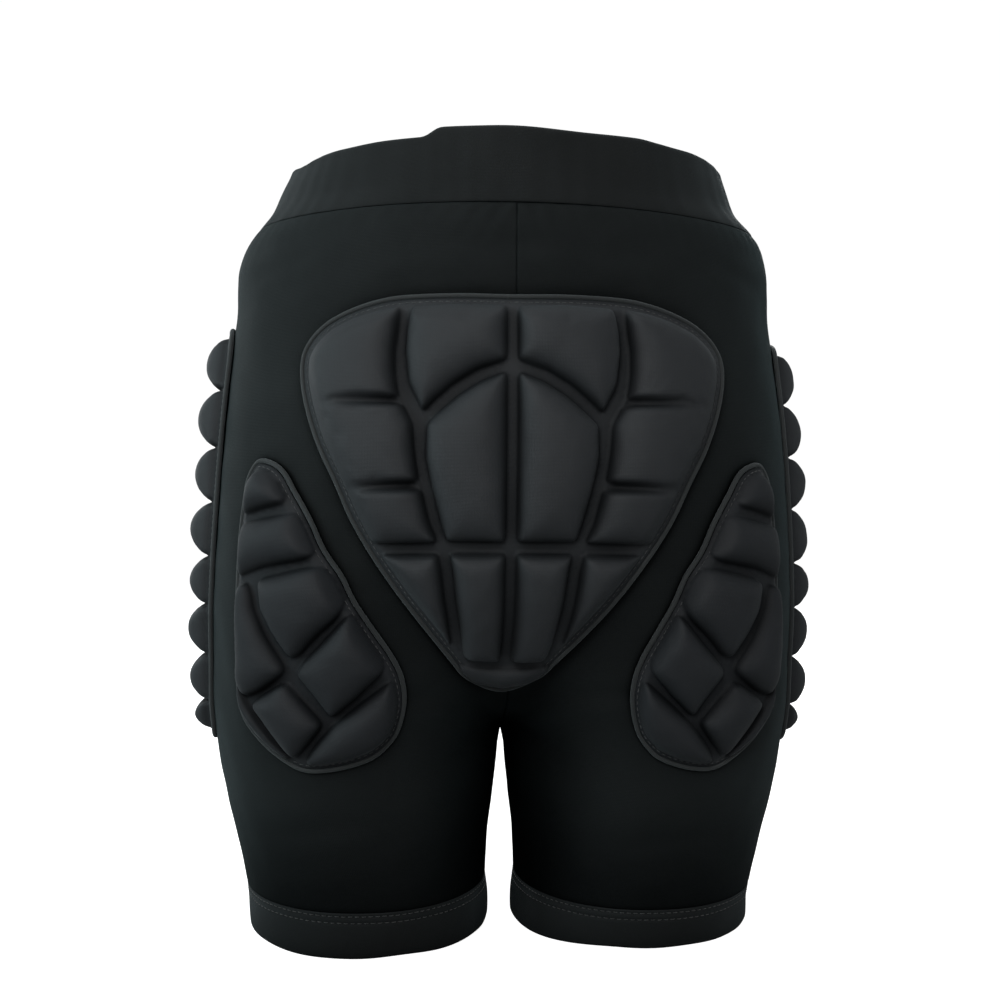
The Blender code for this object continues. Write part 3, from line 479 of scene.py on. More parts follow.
# ---------------------------------------------------------------- materials
class Material:
    """A thin layer over a node tree, so that materials read as formulas."""

    def __init__(self, name):
        self.block = bpy.data.materials.new(name)
        self.block.use_nodes = True
        self.tree = self.block.node_tree
        self.shader = self.tree.nodes["Principled BSDF"]

    def add(self, kind, **settings):
        node = self.tree.nodes.new(kind)
        for key, value in settings.items():
            setattr(node, key, value)
        return node

    def feed(self, socket, value):
        """Links a socket, or sets it to a number or an (r, g, b) colour."""
        if isinstance(value, bpy.types.NodeSocket):
            self.tree.links.new(value, socket)
        else:
            socket.default_value = (*value, 1.0) if isinstance(value, tuple) else value

    def set(self, name, value):
        self.feed(self.shader.inputs[name], value)

    def math(self, operation, a, b=0.0, clamp=False):
        node = self.add("ShaderNodeMath", operation=operation, use_clamp=clamp)
        for socket, value in zip(node.inputs, (a, b, 0.0)):
            self.feed(socket, value)
        return node.outputs[0]

    def plus(self, a, b, clamp=False):
        return self.math("ADD", a, b, clamp)

    def minus(self, a, b):
        return self.math("SUBTRACT", a, b)

    def times(self, a, b):
        return self.math("MULTIPLY", a, b)

    def object_place(self):
        return self.add("ShaderNodeTexCoord").outputs["Object"]

    def cloth_place(self):
        """The uv across and along the cloth in metres, and the place in object space."""
        uv = self.add("ShaderNodeUVMap", uv_map="UVMap")
        split = self.add("ShaderNodeSeparateXYZ")
        self.feed(split.inputs[0], uv.outputs["UV"])
        return split.outputs[0], split.outputs[1], self.object_place()

    def noise(self, vector, scale, detail=3.0, rough=0.55):
        node = self.add("ShaderNodeTexNoise")
        for key, value in (("Vector", vector), ("Scale", scale), ("Detail", detail),
                           ("Roughness", rough)):
            self.feed(node.inputs[key], value)
        return node.outputs["Fac"]

    def span(self, value, from_min, from_max, to_min, to_max):
        node = self.add("ShaderNodeMapRange")
        for key, item in (("Value", value), ("From Min", from_min), ("From Max", from_max),
                          ("To Min", to_min), ("To Max", to_max)):
            self.feed(node.inputs[key], item)
        return node.outputs["Result"]

    def mix(self, share, a, b):
        node = self.add("ShaderNodeMix", data_type="RGBA")
        for index, value in ((0, share), (6, a), (7, b)):
            self.feed(node.inputs[index], value)
        return node.outputs[2]

    def bump(self, height, distance, strength=1.0, normal=None):
        node = self.add("ShaderNodeBump")
        node.inputs["Strength"].default_value = strength
        node.inputs["Distance"].default_value = distance
        self.feed(node.inputs["Height"], height)
        if normal is not None:
            self.feed(node.inputs["Normal"], normal)
        return node.outputs["Normal"]


def knit_relief(m, across, along, place, wale, course, ribs):
    """Height of V-shaped loops in slightly wandering columns, with ribs if they have a width."""
    u = m.math("DIVIDE", across, wale)
    v = m.math("DIVIDE", along, course)
    drift = m.noise(place, scale=90.0, detail=2.0)
    u = m.plus(u, m.times(drift, 0.35))
    v = m.plus(v, m.times(m.noise(place, scale=70.0, detail=2.0), 0.45))
    from_middle = m.math("ABSOLUTE", m.minus(m.math("FRACT", u), 0.5))
    zigzag = m.plus(v, m.times(from_middle, 0.9))
    loops = m.times(m.math("SINE", m.times(zigzag, 2 * math.pi)), 0.5)
    loops = m.plus(loops, 0.5)
    column = m.minus(1.0, m.math("POWER", m.times(from_middle, 2.0), 3.0))
    weave = m.times(loops, column)
    if ribs:
        rib = m.math("SINE", m.times(m.math("DIVIDE", across, ribs), 2 * math.pi))
        weave = m.plus(weave, m.times(rib, 0.8))
    return weave


def textile(name, dark, light, wale, course, depth, rough, sheen, sheen_tint=(1, 1, 1),
            ribs=0.0, painted_shade_reach=0.0, painted_shade_power=1.0, shine=0.28):
    """Knitted cloth with uneven dye, lint and a soft sheen, and, given a reach, painted shade from an
    ambient-occlusion node in its channels and crevices. wale and course are the width and height of a
    loop, depth its relief, ribs their pitch and the painted shade's reach how far that node looks, in
    metres; rough is the (least, most) roughness."""
    m = Material(name)
    across, along, place = m.cloth_place()
    weave = knit_relief(m, across, along, place, wale, course, ribs)
    fuzz = m.noise(place, scale=2600.0, detail=3.0, rough=0.7)
    patch = m.noise(place, scale=26.0, detail=4.0, rough=0.6)
    cloud = m.noise(place, scale=7.0, detail=2.0, rough=0.5)
    # the dye: half patches, half clouds, then a little of the weave and the lint
    tone = m.plus(m.times(patch, 0.5), m.times(cloud, 0.5))
    tone = m.plus(tone, m.times(m.minus(weave, 0.45), 0.35))
    tone = m.plus(tone, m.times(m.minus(fuzz, 0.5), 0.5), clamp=True)
    colour = m.mix(tone, dark, light)
    m.set("Sheen Weight", sheen)
    m.set("Specular IOR Level", shine)
    if painted_shade_reach:
        # painted shade: an ambient-occlusion node darkens the colour, the specular and the sheen down
        # in the channels and between the legs
        shade = m.add("ShaderNodeAmbientOcclusion", samples=8)
        shade.inputs["Distance"].default_value = painted_shade_reach
        painted_shade_keep = m.math("POWER", shade.outputs["AO"], painted_shade_power)
        colour = m.mix(painted_shade_keep, (0.0, 0.0, 0.0), colour)
        m.set("Specular IOR Level", m.times(painted_shade_keep, shine))
        m.set("Sheen Weight", m.times(painted_shade_keep, sheen))
    m.set("Base Color", colour)
    m.set("Roughness", m.span(tone, from_min=0.2, from_max=0.8, to_min=rough[1], to_max=rough[0]))
    m.set("Sheen Roughness", 0.45)
    m.set("Sheen Tint", sheen_tint)
    m.set("Coat Roughness", 0.5)
    soft = m.bump(patch, distance=0.0012, strength=0.25)
    m.set("Normal", m.bump(m.plus(weave, m.times(fuzz, 0.5)), distance=depth, normal=soft))
    return m.block


def foam_material():
    m = Material("foam_closed_cell")
    place = m.object_place()
    cells = m.add("ShaderNodeTexVoronoi")
    m.feed(cells.inputs["Vector"], place)
    cells.inputs["Scale"].default_value = 1400.0
    tone = m.noise(place, scale=40.0, detail=3.0)
    m.set("Base Color", m.mix(tone, (0.06, 0.06, 0.065), (0.12, 0.12, 0.13)))
    m.set("Roughness", 0.85)
    m.set("Normal", m.bump(cells.outputs["Distance"], distance=0.0003, strength=0.8))
    return m.block


def thread_material(name, dark, light):
    """Twisted thread, one turn every 0.7 mm."""
    m = Material(name)
    along, around, place = m.cloth_place()
    twist = m.math("SINE", m.plus(m.times(along, 2 * math.pi / 0.0007),
                                  m.times(around, 2 * math.pi)))
    tone = m.plus(m.times(twist, 0.35), m.noise(place, scale=500.0, detail=2.0), clamp=True)
    m.set("Base Color", m.mix(tone, dark, light))
    m.set("Roughness", 0.5)
    m.set("Sheen Weight", 0.2)
    m.set("Normal", m.bump(twist, distance=0.00008))
    return m.block


# painted shade: the shell, band and guard cloths below are darkened by an ambient-occlusion node in
# channels, crevices and between the legs
SHELL = textile("shell_knit", dark=(0.0034, 0.0049, 0.0052), light=(0.0066, 0.0090, 0.0094),
                wale=0.00095, course=0.00075, depth=0.00006, rough=(0.66, 0.86), sheen=0.06,
                sheen_tint=(0.62, 0.94, 1.0), painted_shade_reach=0.09, painted_shade_power=2.2, shine=0.21)
BAND = textile("band_knit", dark=(0.0039, 0.0050, 0.0052), light=(0.0073, 0.0090, 0.0093),
               wale=0.00085, course=0.00070, depth=0.00006, rough=(0.68, 0.88), sheen=0.09,
               sheen_tint=(0.74, 0.94, 1.0), painted_shade_reach=0.03, shine=0.25)
# lit and shaded copies of one cloth: this lighter copy, for the tail and hip guards, is painted light;
# the darker thigh copy below is painted shade
GUARD = textile("guard_knit", dark=(0.0163, 0.0182, 0.0204), light=(0.0272, 0.0302, 0.0333),
                wale=0.00070, course=0.00060, depth=0.00006, rough=(0.50, 0.68), sheen=0.08,
                sheen_tint=(0.84, 0.95, 1.0), painted_shade_reach=0.013, painted_shade_power=1.7, shine=0.27)
# painted shade: the same guard cloth, darker, for the thigh guards that face down and away from the
# lamps
THIGH_GUARD_PAINTED_SHADE = textile("guard_knit_thigh_painted_shade", dark=(0.0108, 0.0124, 0.0144),
                      light=(0.0190, 0.0214, 0.0244), wale=0.00070, course=0.00060,
                      depth=0.00006, rough=(0.50, 0.68), sheen=0.07,
                      sheen_tint=(0.84, 0.95, 1.0), painted_shade_reach=0.014, painted_shade_power=1.9, shine=0.23)
# painted highlight: the piping cloth is a little lighter than the guard cloth so the bead reads as a
# lit line
CORD_PAINTED_HIGHLIGHT = textile("piping_cloth_painted_highlight", dark=(0.0165, 0.0190, 0.0196), light=(0.0300, 0.0334, 0.0340),
               wale=0.00060, course=0.00055, depth=0.00008, rough=(0.55, 0.75), sheen=0.20,
               sheen_tint=(0.85, 0.97, 1.0))
ELASTIC = textile("elastic_webbing", dark=(0.42, 0.42, 0.40), light=(0.66, 0.66, 0.63),
                  wale=0.0012, course=0.0009, depth=0.00015, rough=(0.7, 0.85), sheen=0.2,
                  ribs=0.0032)
FOAM = foam_material()
THREAD = thread_material("thread_twist", dark=(0.020, 0.022, 0.023), light=(0.050, 0.054, 0.056))
HEM_THREAD = thread_material("thread_hem", dark=(0.007, 0.008, 0.008), light=(0.017, 0.019, 0.019))

# ---------------------------------------------------------------- shell panels
PANEL_COLUMNS = 92
PANEL_SAMPLES = 221          # points traced round each row before it is spaced out
FORK_LOW, FORK_HIGH = 0.05, 0.24   # search range for the height where the two legs join


def panel_heights():
    """Row heights: crowded at the two ends and following the curve where the legs join."""
    foot = PANEL_FOOT + np.array([0.0, 0.4, 0.8, 1.3, 2.0, 3.0]) * MM
    low = np.linspace(PANEL_FOOT + 4.6 * MM, 0.0985, 30)
    depths = (np.linspace(0.0, 1.0, 30) ** 1.35) * 50.0 * MM
    forks = bisect(lambda z: -form(np.full(len(z), SEAM_HALF), -depths - SEAM_HALF, z),
                   np.full(len(depths), FORK_LOW), np.full(len(depths), FORK_HIGH))
    high = np.linspace(forks[-1], PANEL_HEAD - 4.0 * MM, 100)[1:]
    head = PANEL_HEAD - np.array([3.0, 2.2, 1.5, 1.0, 0.6, 0.3, 0.0]) * MM
    return np.concatenate([foot, low, forks + 1e-5, high, head])


def panel_grid(sign, z):
    """Rows of a right-hand panel, each from the side seam round to the inseam or centre seam, and the
    length run along each. sign is -1 for the rear and 1 for the front."""
    centre = leg_centre(z)
    edge, near = np.full(len(z), SEAM_HALF), np.full(len(z), sign * SEAM_HALF)
    side = bisect(lambda x: form(x, near, z), centre, np.full(len(z), 0.22))
    joined = form(edge, near, z) < 0
    deep = bisect(lambda y: form(edge, y, z), near, np.full(len(z), sign * 0.16))
    inner = bisect(lambda x: form(x, near, z), centre, np.zeros(len(z)))
    end_x, end_y = np.where(joined, edge, inner), np.where(joined, deep, near)
    first = np.abs(np.arctan2(edge, side - centre))
    last = np.arctan2(sign * end_y, end_x - centre)
    angle = first[:, None] + (last - first)[:, None] * np.linspace(0, 1, PANEL_SAMPLES)[None]
    cos, sin = np.cos(angle).ravel(), (sign * np.sin(angle)).ravel()
    centres, heights = np.repeat(centre, PANEL_SAMPLES), np.repeat(z, PANEL_SAMPLES)
    radius = bisect(lambda r: form(centres + r * cos, r * sin, heights),
                    np.full(len(centres), 0.0005), own_side(centres, cos), 34)
    traced = np.stack([(centres + radius * cos), radius * sin], axis=1)
    traced = traced.reshape(len(z), PANEL_SAMPLES, 2)
    traced[:, 0, 0], traced[:, 0, 1] = side, near
    traced[:, -1, 0], traced[:, -1, 1] = end_x, end_y
    traced[..., 0] = np.maximum(traced[..., 0], SEAM_HALF)
    traced[..., 1] = sign * np.maximum(sign * traced[..., 1], SEAM_HALF)
    # columns crowd towards both seams
    share = np.linspace(0, 1, PANEL_COLUMNS)
    share = share - 0.54 * np.sin(2 * np.pi * share) / (2 * np.pi)
    grid, runs = [], []
    for line, height in zip(traced, z):
        run = run_lengths(line)
        want = share * run[-1]
        grid.append(np.column_stack([sample(line, run, want), np.full(PANEL_COLUMNS, height)]))
        runs.append(want)
    return np.array(grid), np.array(runs)


def crease_depth(x, z, creases):
    total = np.zeros(np.shape(x))
    for x1, z1, x2, z2, wide, deep in creases:
        dx, dz = (x2 - x1) * MM, (z2 - z1) * MM
        length = math.hypot(dx, dz)
        along = ((x - x1 * MM) * dx + (z - z1 * MM) * dz) / length**2
        off = ((x - x1 * MM) * -dz + (z - z1 * MM) * dx) / length
        fade = smoothstep(along, -0.15, 0.25) * (1 - smoothstep(along, 0.75, 1.15))
        total = total + deep * MM * bell(off, wide * MM) * fade
    return total


def seam_sag(x_or_y_rearwards):
    """The waistband's seam, and the band with it, hang a little lower at the rear; takes y."""
    return -2.2 * MM * smoothstep(-x_or_y_rearwards, 0.02, 0.095)


def drawn_in(points):
    """The garment narrows a little more towards the rim than its frame does, most on the left, and is
    a little fuller just under the waistband on the right."""
    out = points.copy()
    x, z = points[:, 0], points[:, 2]
    left, right = smoothstep(-x, 0.05, 0.125), smoothstep(x, 0.05, 0.125)
    out[:, 0] += (2.9 * smoothstep(z, 0.372, 0.396) + 1.7 * smoothstep(z, 0.403, 0.4235)) * left * MM
    out[:, 0] -= (1.9 * smoothstep(z, 0.384, 0.400) - 2.2 * bell(z - 0.380, 0.012)) * right * MM
    return out


def panel_lift(sign, x, y, z, run):
    """How far the cloth stands off the form: unevenness, gathers, creases and sunken seams."""
    below_band = PANEL_HEAD - z
    lift = 0.55 * MM * ripple(x, y, z, 3, 0.075) + 0.22 * MM * ripple(x, y, z, 4, 0.028)
    lift *= smoothstep(z, PANEL_FOOT, 0.045) * (1 - smoothstep(z, 0.375, PANEL_HEAD))
    around = run.ravel() * (1 if sign < 0 else -1)
    gather = np.sin(2 * np.pi * around / 0.0105 + 2.2 * ripple(x, y, z, 9, 0.05))
    lift += 0.30 * MM * gather * np.exp(-below_band / 0.009) * (1 - np.exp(-below_band / 0.0012))
    lift += crease_depth(x, z, REAR_CREASES if sign < 0 else FRONT_CREASES)
    # side seam and middle seam, then the seams under the band and over the hem
    seam = 0.32 * bell(run, 0.8 * MM) + 0.07 * bell(run[:, -1:] - run, 0.7 * MM)
    lift -= seam.ravel() * MM
    lift -= 0.28 * MM * bell(below_band, 1.0 * MM)
    lift -= 0.30 * MM * bell(z - PANEL_FOOT, 0.9 * MM)
    return np.where(np.abs(x) < 0.02, np.minimum(lift, 0.35 * MM), lift)


def shell_piece(where, sign, left, grid, run):
    """One of the four panels; grid is the right-hand one and the left is mirrored from it."""
    flat = grid.reshape(-1, 3)
    normals = outward(flat)
    half = SEAM_HALF * 0.9
    x, y, z = mirrored(flat, left).T
    points = flat + normals * panel_lift(sign, x, y, z, run)[:, None]
    points[:, 0] = np.maximum(points[:, 0], half)
    points[:, 1] = sign * np.maximum(sign * points[:, 1], half)
    points[:, 2] += seam_sag(points[:, 1]) * smoothstep(z, 0.335, PANEL_HEAD)
    points[:, 2] += 0.42 * MM * smoothstep(z, PANEL_HEAD - 1.6 * MM, PANEL_HEAD)
    points[:, 2] -= 0.32 * MM * (1 - smoothstep(z, PANEL_FOOT, PANEL_FOOT + 1.4 * MM))
    points = drawn_in(mirrored(points, left))
    faces = faced(points, grid_faces(len(grid), PANEL_COLUMNS), mirrored(normals, left))
    uv = np.stack([run.ravel(), flat[:, 2]], axis=1)
    verts, every, uvs = closed_sheet(points, faces, FABRIC, uv)
    # the wall behind stays on its own side of the seams
    verts[:, 0] = np.minimum(verts[:, 0], -half) if left else np.maximum(verts[:, 0], half)
    verts[:, 1] = sign * np.maximum(sign * verts[:, 1], half)
    side = "left" if left else "right"
    add_piece(f"shell_{where}_{side}", verts, every, uvs, SHELL, "stretch_knit",
              f"{where}_panel_{side}")


for where, sign in (("back", -1.0), ("front", 1.0)):
    grid, run = panel_grid(sign, panel_heights())
    for left in (False, True):
        shell_piece(where, sign, left, grid, run)

TAPE = np.linspace(-4.5, 4.5, 7) * MM
TAPE_WALL = 0.5 * MM
TAPE_DEPTH = FABRIC + 1.08 * MM
TAPE_HEAD = PANEL_HEAD + 1.2 * MM


def tape_grid(foot, rows):
    """Height and place across the tape of each of its points."""
    z, across = np.meshgrid(np.linspace(foot, TAPE_HEAD, rows), TAPE, indexing="ij")
    return z.ravel(), across.ravel()


def tape_piece(name, x, y, z):
    """A narrow strip of cloth behind a seam, given rows of the outer surface across the seam."""
    points = np.stack([x, y, z], axis=1)
    normals = outward(points)
    deep = points - normals * TAPE_DEPTH
    deep[:, 2] += seam_sag(y) * smoothstep(z, 0.335, PANEL_HEAD)
    deep = drawn_in(deep)
    faces = faced(deep, grid_faces(len(points) // len(TAPE), len(TAPE)), normals)
    sheet = closed_sheet(deep, faces, TAPE_WALL, np.column_stack([x + y, z]))
    add_piece(name, *sheet, SHELL, "stretch_knit")


for name, sign in (("back", -1.0), ("front", 1.0)):
    z, x = tape_grid(0.135, 110)
    y = bisect(lambda y: form(x, y, z), np.zeros(len(x)), np.full(len(x), sign * 0.2))
    tape_piece(f"seam_tape_{name}", x, y, z)
for name, side in (("right", 1.0), ("left", -1.0)):
    z, y = tape_grid(PANEL_FOOT - 3.5 * MM, 130)
    x = bisect(lambda x: form(x, y, z), leg_centre(z), np.full(len(z), 0.24))
    tape_piece(f"seam_tape_side_{name}", side * x, y, z)


# ---------------------------------------------------------------- waistband and hems
def waist_loop(z):
    angle = np.linspace(0, 2 * np.pi, 721)[:-1]
    heights = np.full(len(angle), z)
    radius = bisect(lambda r: form(r * np.cos(angle), r * np.sin(angle), heights),
                    np.full(len(angle), 0.02), np.full(len(angle), 0.2))
    return even(np.stack([radius * np.cos(angle), radius * np.sin(angle)], axis=1), 420)


def leg_loop(z, left):
    degrees = np.linspace(0, 360, 721)[:-1]
    points = round_leg(degrees, np.full(len(degrees), z))
    points[:, 0] = np.maximum(points[:, 0], 0.003)
    return even(mirrored(points, left)[:, :2], 360)


def ring_piece(name, section, loop_at, shape, material, slot, node):
    """A closed ring: section holds (depth in, height), shape moves its points."""
    section_run = run_lengths(np.array(section))
    rows, uv = [], []
    for (depth, z), v in zip(section, section_run):
        loop = loop_at(z)
        normals = loop_normals(loop)
        points = np.column_stack([loop - normals * depth, np.full(len(loop), z)])
        rows.append(shape(points, np.column_stack([normals, np.zeros(len(loop))]), depth, z))
        uv.append(np.column_stack([run_lengths(loop), np.full(len(loop), v)]))
    count, around = len(rows), len(rows[0])
    points = np.vstack(rows)
    faces = grid_faces(count, around, True)
    i = np.arange(around)
    j = (i + 1) % around
    last = (count - 1) * around
    faces = np.vstack([faces, np.stack([last + i, last + j, j, i], axis=1)])
    # the first row is on the outside, so its faces must look away from the middle
    normals = normals_of(points, faces[:around])[i]
    if ((points[i] - points.mean(axis=0))[:, :2] * normals[:, :2]).sum() < 0:
        faces = faces[:, ::-1]
    add_piece(name, points, faces, np.vstack(uv), material, slot, node)


def band_raise(x, y):
    """The rim is uneven at the rear: it dips on the left, has a low hump in the middle and rises a
    little on the right."""
    rear = smoothstep(-y, 0.01, 0.05)
    dip = -2.3 * (1 - smoothstep(x, -0.048, -0.038)) - 1.8 * (1 - smoothstep(x, -0.118, -0.090))
    hump = 2.0 * smoothstep(x, -0.046, -0.036) * (1 - 0.75 * smoothstep(x, -0.012, 0.045))
    hump = hump * (1 - smoothstep(x, 0.062, 0.074))
    right = 1.1 * smoothstep(x, 0.030, 0.070) * (1 - smoothstep(x, 0.100, 0.125))
    return (dip + hump + right) * rear * MM


def band_shape(points, normals, depth, z):
    """Gathers and a slight puff on the outer face, gentle waves inside, and the uneven rim."""
    rim_share = np.clip((points[:, 2] - 0.395) / (BAND_TOP - 0.395), 0, 1)
    x, y = points[:, 0].copy(), points[:, 1].copy()
    out = 0.35 * MM * ripple(x, y, z, 16, 0.09)
    height_share = np.clip((z - BAND_FOOT) / (BAND_TOP - BAND_FOOT), 0, 1)
    if depth <= 0.0015:
        run = np.arctan2(y, x) * 0.105
        gather = np.sin(2 * np.pi * run / 0.0125 + 2.5 * ripple(x, y, 0.0, 15, 0.06))
        puff = 0.25 * math.sin(math.pi * min(max((z - BAND_FOOT) / 0.034, 0), 1))
        if depth == 0.0015:
            puff = 0.0
        out = out + (0.16 * gather * (1 - 0.5 * height_share) + puff) * MM
    points = points + normals * out[:, None]
    points[:, 2] += seam_sag(y) + band_raise(x, y) * rim_share
    points[:, 2] += 0.25 * MM * ripple(x, y, 0.0, 18, 0.03) * height_share
    return drawn_in(points)


def arch(half, centre_z, rise, degrees):
    """Section points over the top of the band, half the span wide and rise high."""
    return [(CASING_WIDE / 2 - half * math.cos(a), centre_z + rise * math.sin(a))
            for a in np.radians(degrees)]


def upright(depth, start, end, count):
    return [(depth, z) for z in np.linspace(start, end, count)]


WEBBING_FOOT, WEBBING_TOP = BAND_FOOT + 1.6 * MM, 0.4166
CASING_SHOULDER = BAND_TOP - 3.6 * MM
POCKET_TOP = 0.4172          # where the inside of the casing starts to arch over
webbing = (upright(1.75 * MM, WEBBING_FOOT, WEBBING_TOP, 8)
           + upright(3.65 * MM, WEBBING_TOP, WEBBING_FOOT, 8))
casing = [(0.6 * MM, BAND_FOOT), (0.25 * MM, BAND_FOOT + 0.25 * MM),
          (0.05 * MM, BAND_FOOT + 0.8 * MM), (0.0, BAND_FOOT + 1.8 * MM)]
casing += upright(0.0, BAND_FOOT + 3.2 * MM, CASING_SHOULDER, 20)
casing += arch(CASING_WIDE / 2, BAND_TOP - 2.7 * MM, 2.7 * MM,
               [12, 26, 40, 55, 70, 90, 110, 125, 140, 154, 168])
casing += upright(CASING_WIDE, CASING_SHOULDER, BAND_FOOT, 8)
casing += upright(CASING_WIDE - CASING_WALL, BAND_FOOT, POCKET_TOP, 6)
casing += arch(CASING_WIDE / 2 - CASING_WALL, 0.4185 - 0.8 * MM, 0.8 * MM, [160, 125, 90, 55, 20])
casing += upright(CASING_WALL, POCKET_TOP, BAND_FOOT, 6)
ring_piece("waistband_webbing", webbing, waist_loop, band_shape, ELASTIC, "woven_elastic",
           "waistband_elastic")
ring_piece("waistband_casing", casing, waist_loop, band_shape, BAND, "band_knit", "waistband_cover")

HEM_ROWS = {"upper": 0.0233, "lower": 0.0197}    # heights of the two stitch rows, in metres


def hem_shape(points, normals, depth, z):
    """A puffed outer face grooved under the two stitch rows, and an uneven foot that rises at the rear
    of the right leg."""
    x, y = points[:, 0].copy(), points[:, 1].copy()
    waves = ripple(x, y, z, 25, 0.03)
    if depth < 0.0013:
        groove = 0.30 * sum(bell(z - row, 0.0007) for row in HEM_ROWS.values())
        puff = 0.35 * math.sin(math.pi * min(max(z / HEM_TOP, 0), 1))
        out = (puff - groove + 0.30 * waves) * MM
    else:
        out = 0.1 * MM * waves
    points = points + normals * out[:, None]
    points[:, 2] += 0.45 * MM * (ripple(x, y, 0.0, 28, 0.05) + 1) * (1 - min(z / 0.02, 1))
    rear_right = smoothstep(x, 0.0, 0.06) * smoothstep(-y, -0.03, 0.05)
    points[:, 2] += 3.4 * MM * rear_right * (1 - min(z / 0.0185, 1)) ** 0.8
    return points


hem = [(0.30 * MM, 0.6 * MM), (0.05 * MM, 1.3 * MM)]
hem += upright(0.0, 0.0025, 0.0175, 8) + upright(0.0, 0.0185, 0.0245, 13)
hem += [(0.30 * MM, HEM_TOP + 0.1 * MM)]
hem += [(HEM_WALL, z) for z in (HEM_TOP, 0.019, 0.013, 0.007, 0.0015)]
hem += [(HEM_WALL - 0.5 * MM, 0.35 * MM), (HEM_WALL / 2, 0.0), (0.8 * MM, 0.15 * MM)]
for side_name, left in (("right", False), ("left", True)):
    ring_piece(f"hem_band_{side_name}", hem, lambda z, left=left: leg_loop(z, left), hem_shape,
               BAND, "band_knit", f"leg_hem_{side_name}")

# ---------------------------------------------------------------- thread
STITCH_AROUND = 6
# Stations along a stitch: share of its length, share of the thread's radius, height in radii.
STITCH_SHARE = np.array([-0.5, -0.38, -0.15, 0.15, 0.38, 0.5])
STITCH_FAT = np.array([0.45, 0.9, 1.0, 1.0, 0.9, 0.45])
STITCH_HIGH = np.array([-1.3, -0.2, 0.55, 0.55, -0.2, -1.3])


def stitches(name, path, normals, long, gap, radius, material, slot, lift, seed):
    """Lockstitches round a closed path: each one rises out of the cloth and dips back in."""
    rng = np.random.default_rng(seed)
    path, normals = np.vstack([path, path[:1]]), np.vstack([normals, normals[:1]])
    run = run_lengths(path)
    count = int(run[-1] / (long + gap))
    pitch = run[-1] / count
    stations = len(STITCH_SHARE)
    verts, faces, uv = [], [], []
    for k in range(count):
        middle = (k + 0.5) * pitch + rng.normal(0, 0.04) * gap
        along = middle + STITCH_SHARE * long * (1 + rng.normal(0, 0.03))
        held = np.clip(along, 0, run[-1])
        line, up = sample(path, run, held), sample(normals, run, held)
        up = up / np.linalg.norm(up, axis=1)[:, None]
        ahead = line[-1] - line[0]
        ahead = ahead / np.linalg.norm(ahead)
        across = np.cross(ahead, up)
        line = line + up * (lift + STITCH_HIGH[:, None] * radius)
        line = line + across * rng.normal(0, 0.10) * radius
        first = len(verts)
        for i in range(stations):
            for a in range(STITCH_AROUND):
                t = 2 * math.pi * a / STITCH_AROUND
                spoke = up[i] * math.sin(t) + across[i] * math.cos(t)
                verts.append(line[i] + spoke * radius * STITCH_FAT[i])
                uv.append((along[i], a / STITCH_AROUND))
        tube = first + grid_faces(stations, STITCH_AROUND, True)
        faces += [tuple(f) for f in tube]
        faces.append(tuple(first + a for a in reversed(range(STITCH_AROUND))))
        last = first + (stations - 1) * STITCH_AROUND
        faces.append(tuple(last + a for a in range(STITCH_AROUND)))
    verts = np.array(verts)
    # the first stitch tells which way all of them face
    quad = faces[0]
    normal = np.cross(verts[quad[1]] - verts[quad[0]], verts[quad[3]] - verts[quad[0]])
    if normal @ (verts[quad[0]] - verts[:STITCH_AROUND].mean(axis=0)) < 0:
        faces = [tuple(reversed(f)) for f in faces]
    add_piece(name, verts, faces, np.array(uv), material, slot)


for side_name, left in (("right", False), ("left", True)):
    for row, z in HEM_ROWS.items():
        loop = leg_loop(z, left)
        normals = np.column_stack([loop_normals(loop), np.zeros(len(loop))])
        base = hem_shape(np.column_stack([loop, np.full(len(loop), z)]), normals, 0.0, z)
        stitches(f"hem_stitch_{row}_{side_name}", base, normals, long=2.5 * MM, gap=1.0 * MM,
                 radius=0.24 * MM, material=HEM_THREAD, slot="band_knit", lift=0.12 * MM,
                 seed=41 if left else 42)


# ---------------------------------------------------------------- guard plane (mm)
def within(points, loop):
    x, y = points[:, 0][:, None], points[:, 1][:, None]
    a, b = loop, np.roll(loop, -1, axis=0)
    crossing = (a[:, 1] > y) != (b[:, 1] > y)
    rise = b[:, 1] - a[:, 1]
    slope = (b[:, 0] - a[:, 0]) / np.where(np.abs(rise) < 1e-12, 1e-12, rise)
    hit = crossing & (x < a[:, 0] + (y - a[:, 1]) * slope)
    return hit.sum(axis=1) % 2 == 1


def exact_depth(points, loop):
    """Distance to the loop, positive inside."""
    side = np.roll(loop, -1, axis=0) - loop
    least = np.full(len(points), 1e9)
    for i in range(0, len(points), 4000):
        away = points[i:i + 4000][:, None, :] - loop[None]
        t = np.clip((away * side).sum(axis=2) / np.maximum((side * side).sum(axis=1), 1e-12), 0, 1)
        off = away - t[..., None] * side
        least[i:i + 4000] = np.sqrt((off**2).sum(axis=2).min(axis=1))
    return np.where(within(points, loop), least, -least)


def soft_depth(points, loop, depth):
    """A distance with no ridge down the middle of the cell, equal to the real one at the edge."""
    dots = even(loop, int(perimeter(loop) / 0.7))
    step = perimeter(dots) / len(dots)
    square = ((points[:, None, :] - dots[None]) ** 2).sum(axis=2)
    smooth = (1.5708 / (step / np.maximum(square, 0.05) ** 2).sum(axis=1)) ** (1 / 3)
    mix = smoothstep(depth, 0.9, 2.6)
    return depth * (1 - mix) + smooth * mix


def pillow(depth, wall, dome, wall_wide, dome_wide):
    """Height over the channel floor: a steep wall and a dome."""
    a, b = np.clip(depth / wall_wide, 0, 1), np.clip(depth / dome_wide, 0, 1)
    return wall * (1 - (1 - a) ** 2.2) + dome * (1 - (1 - b) ** 2)


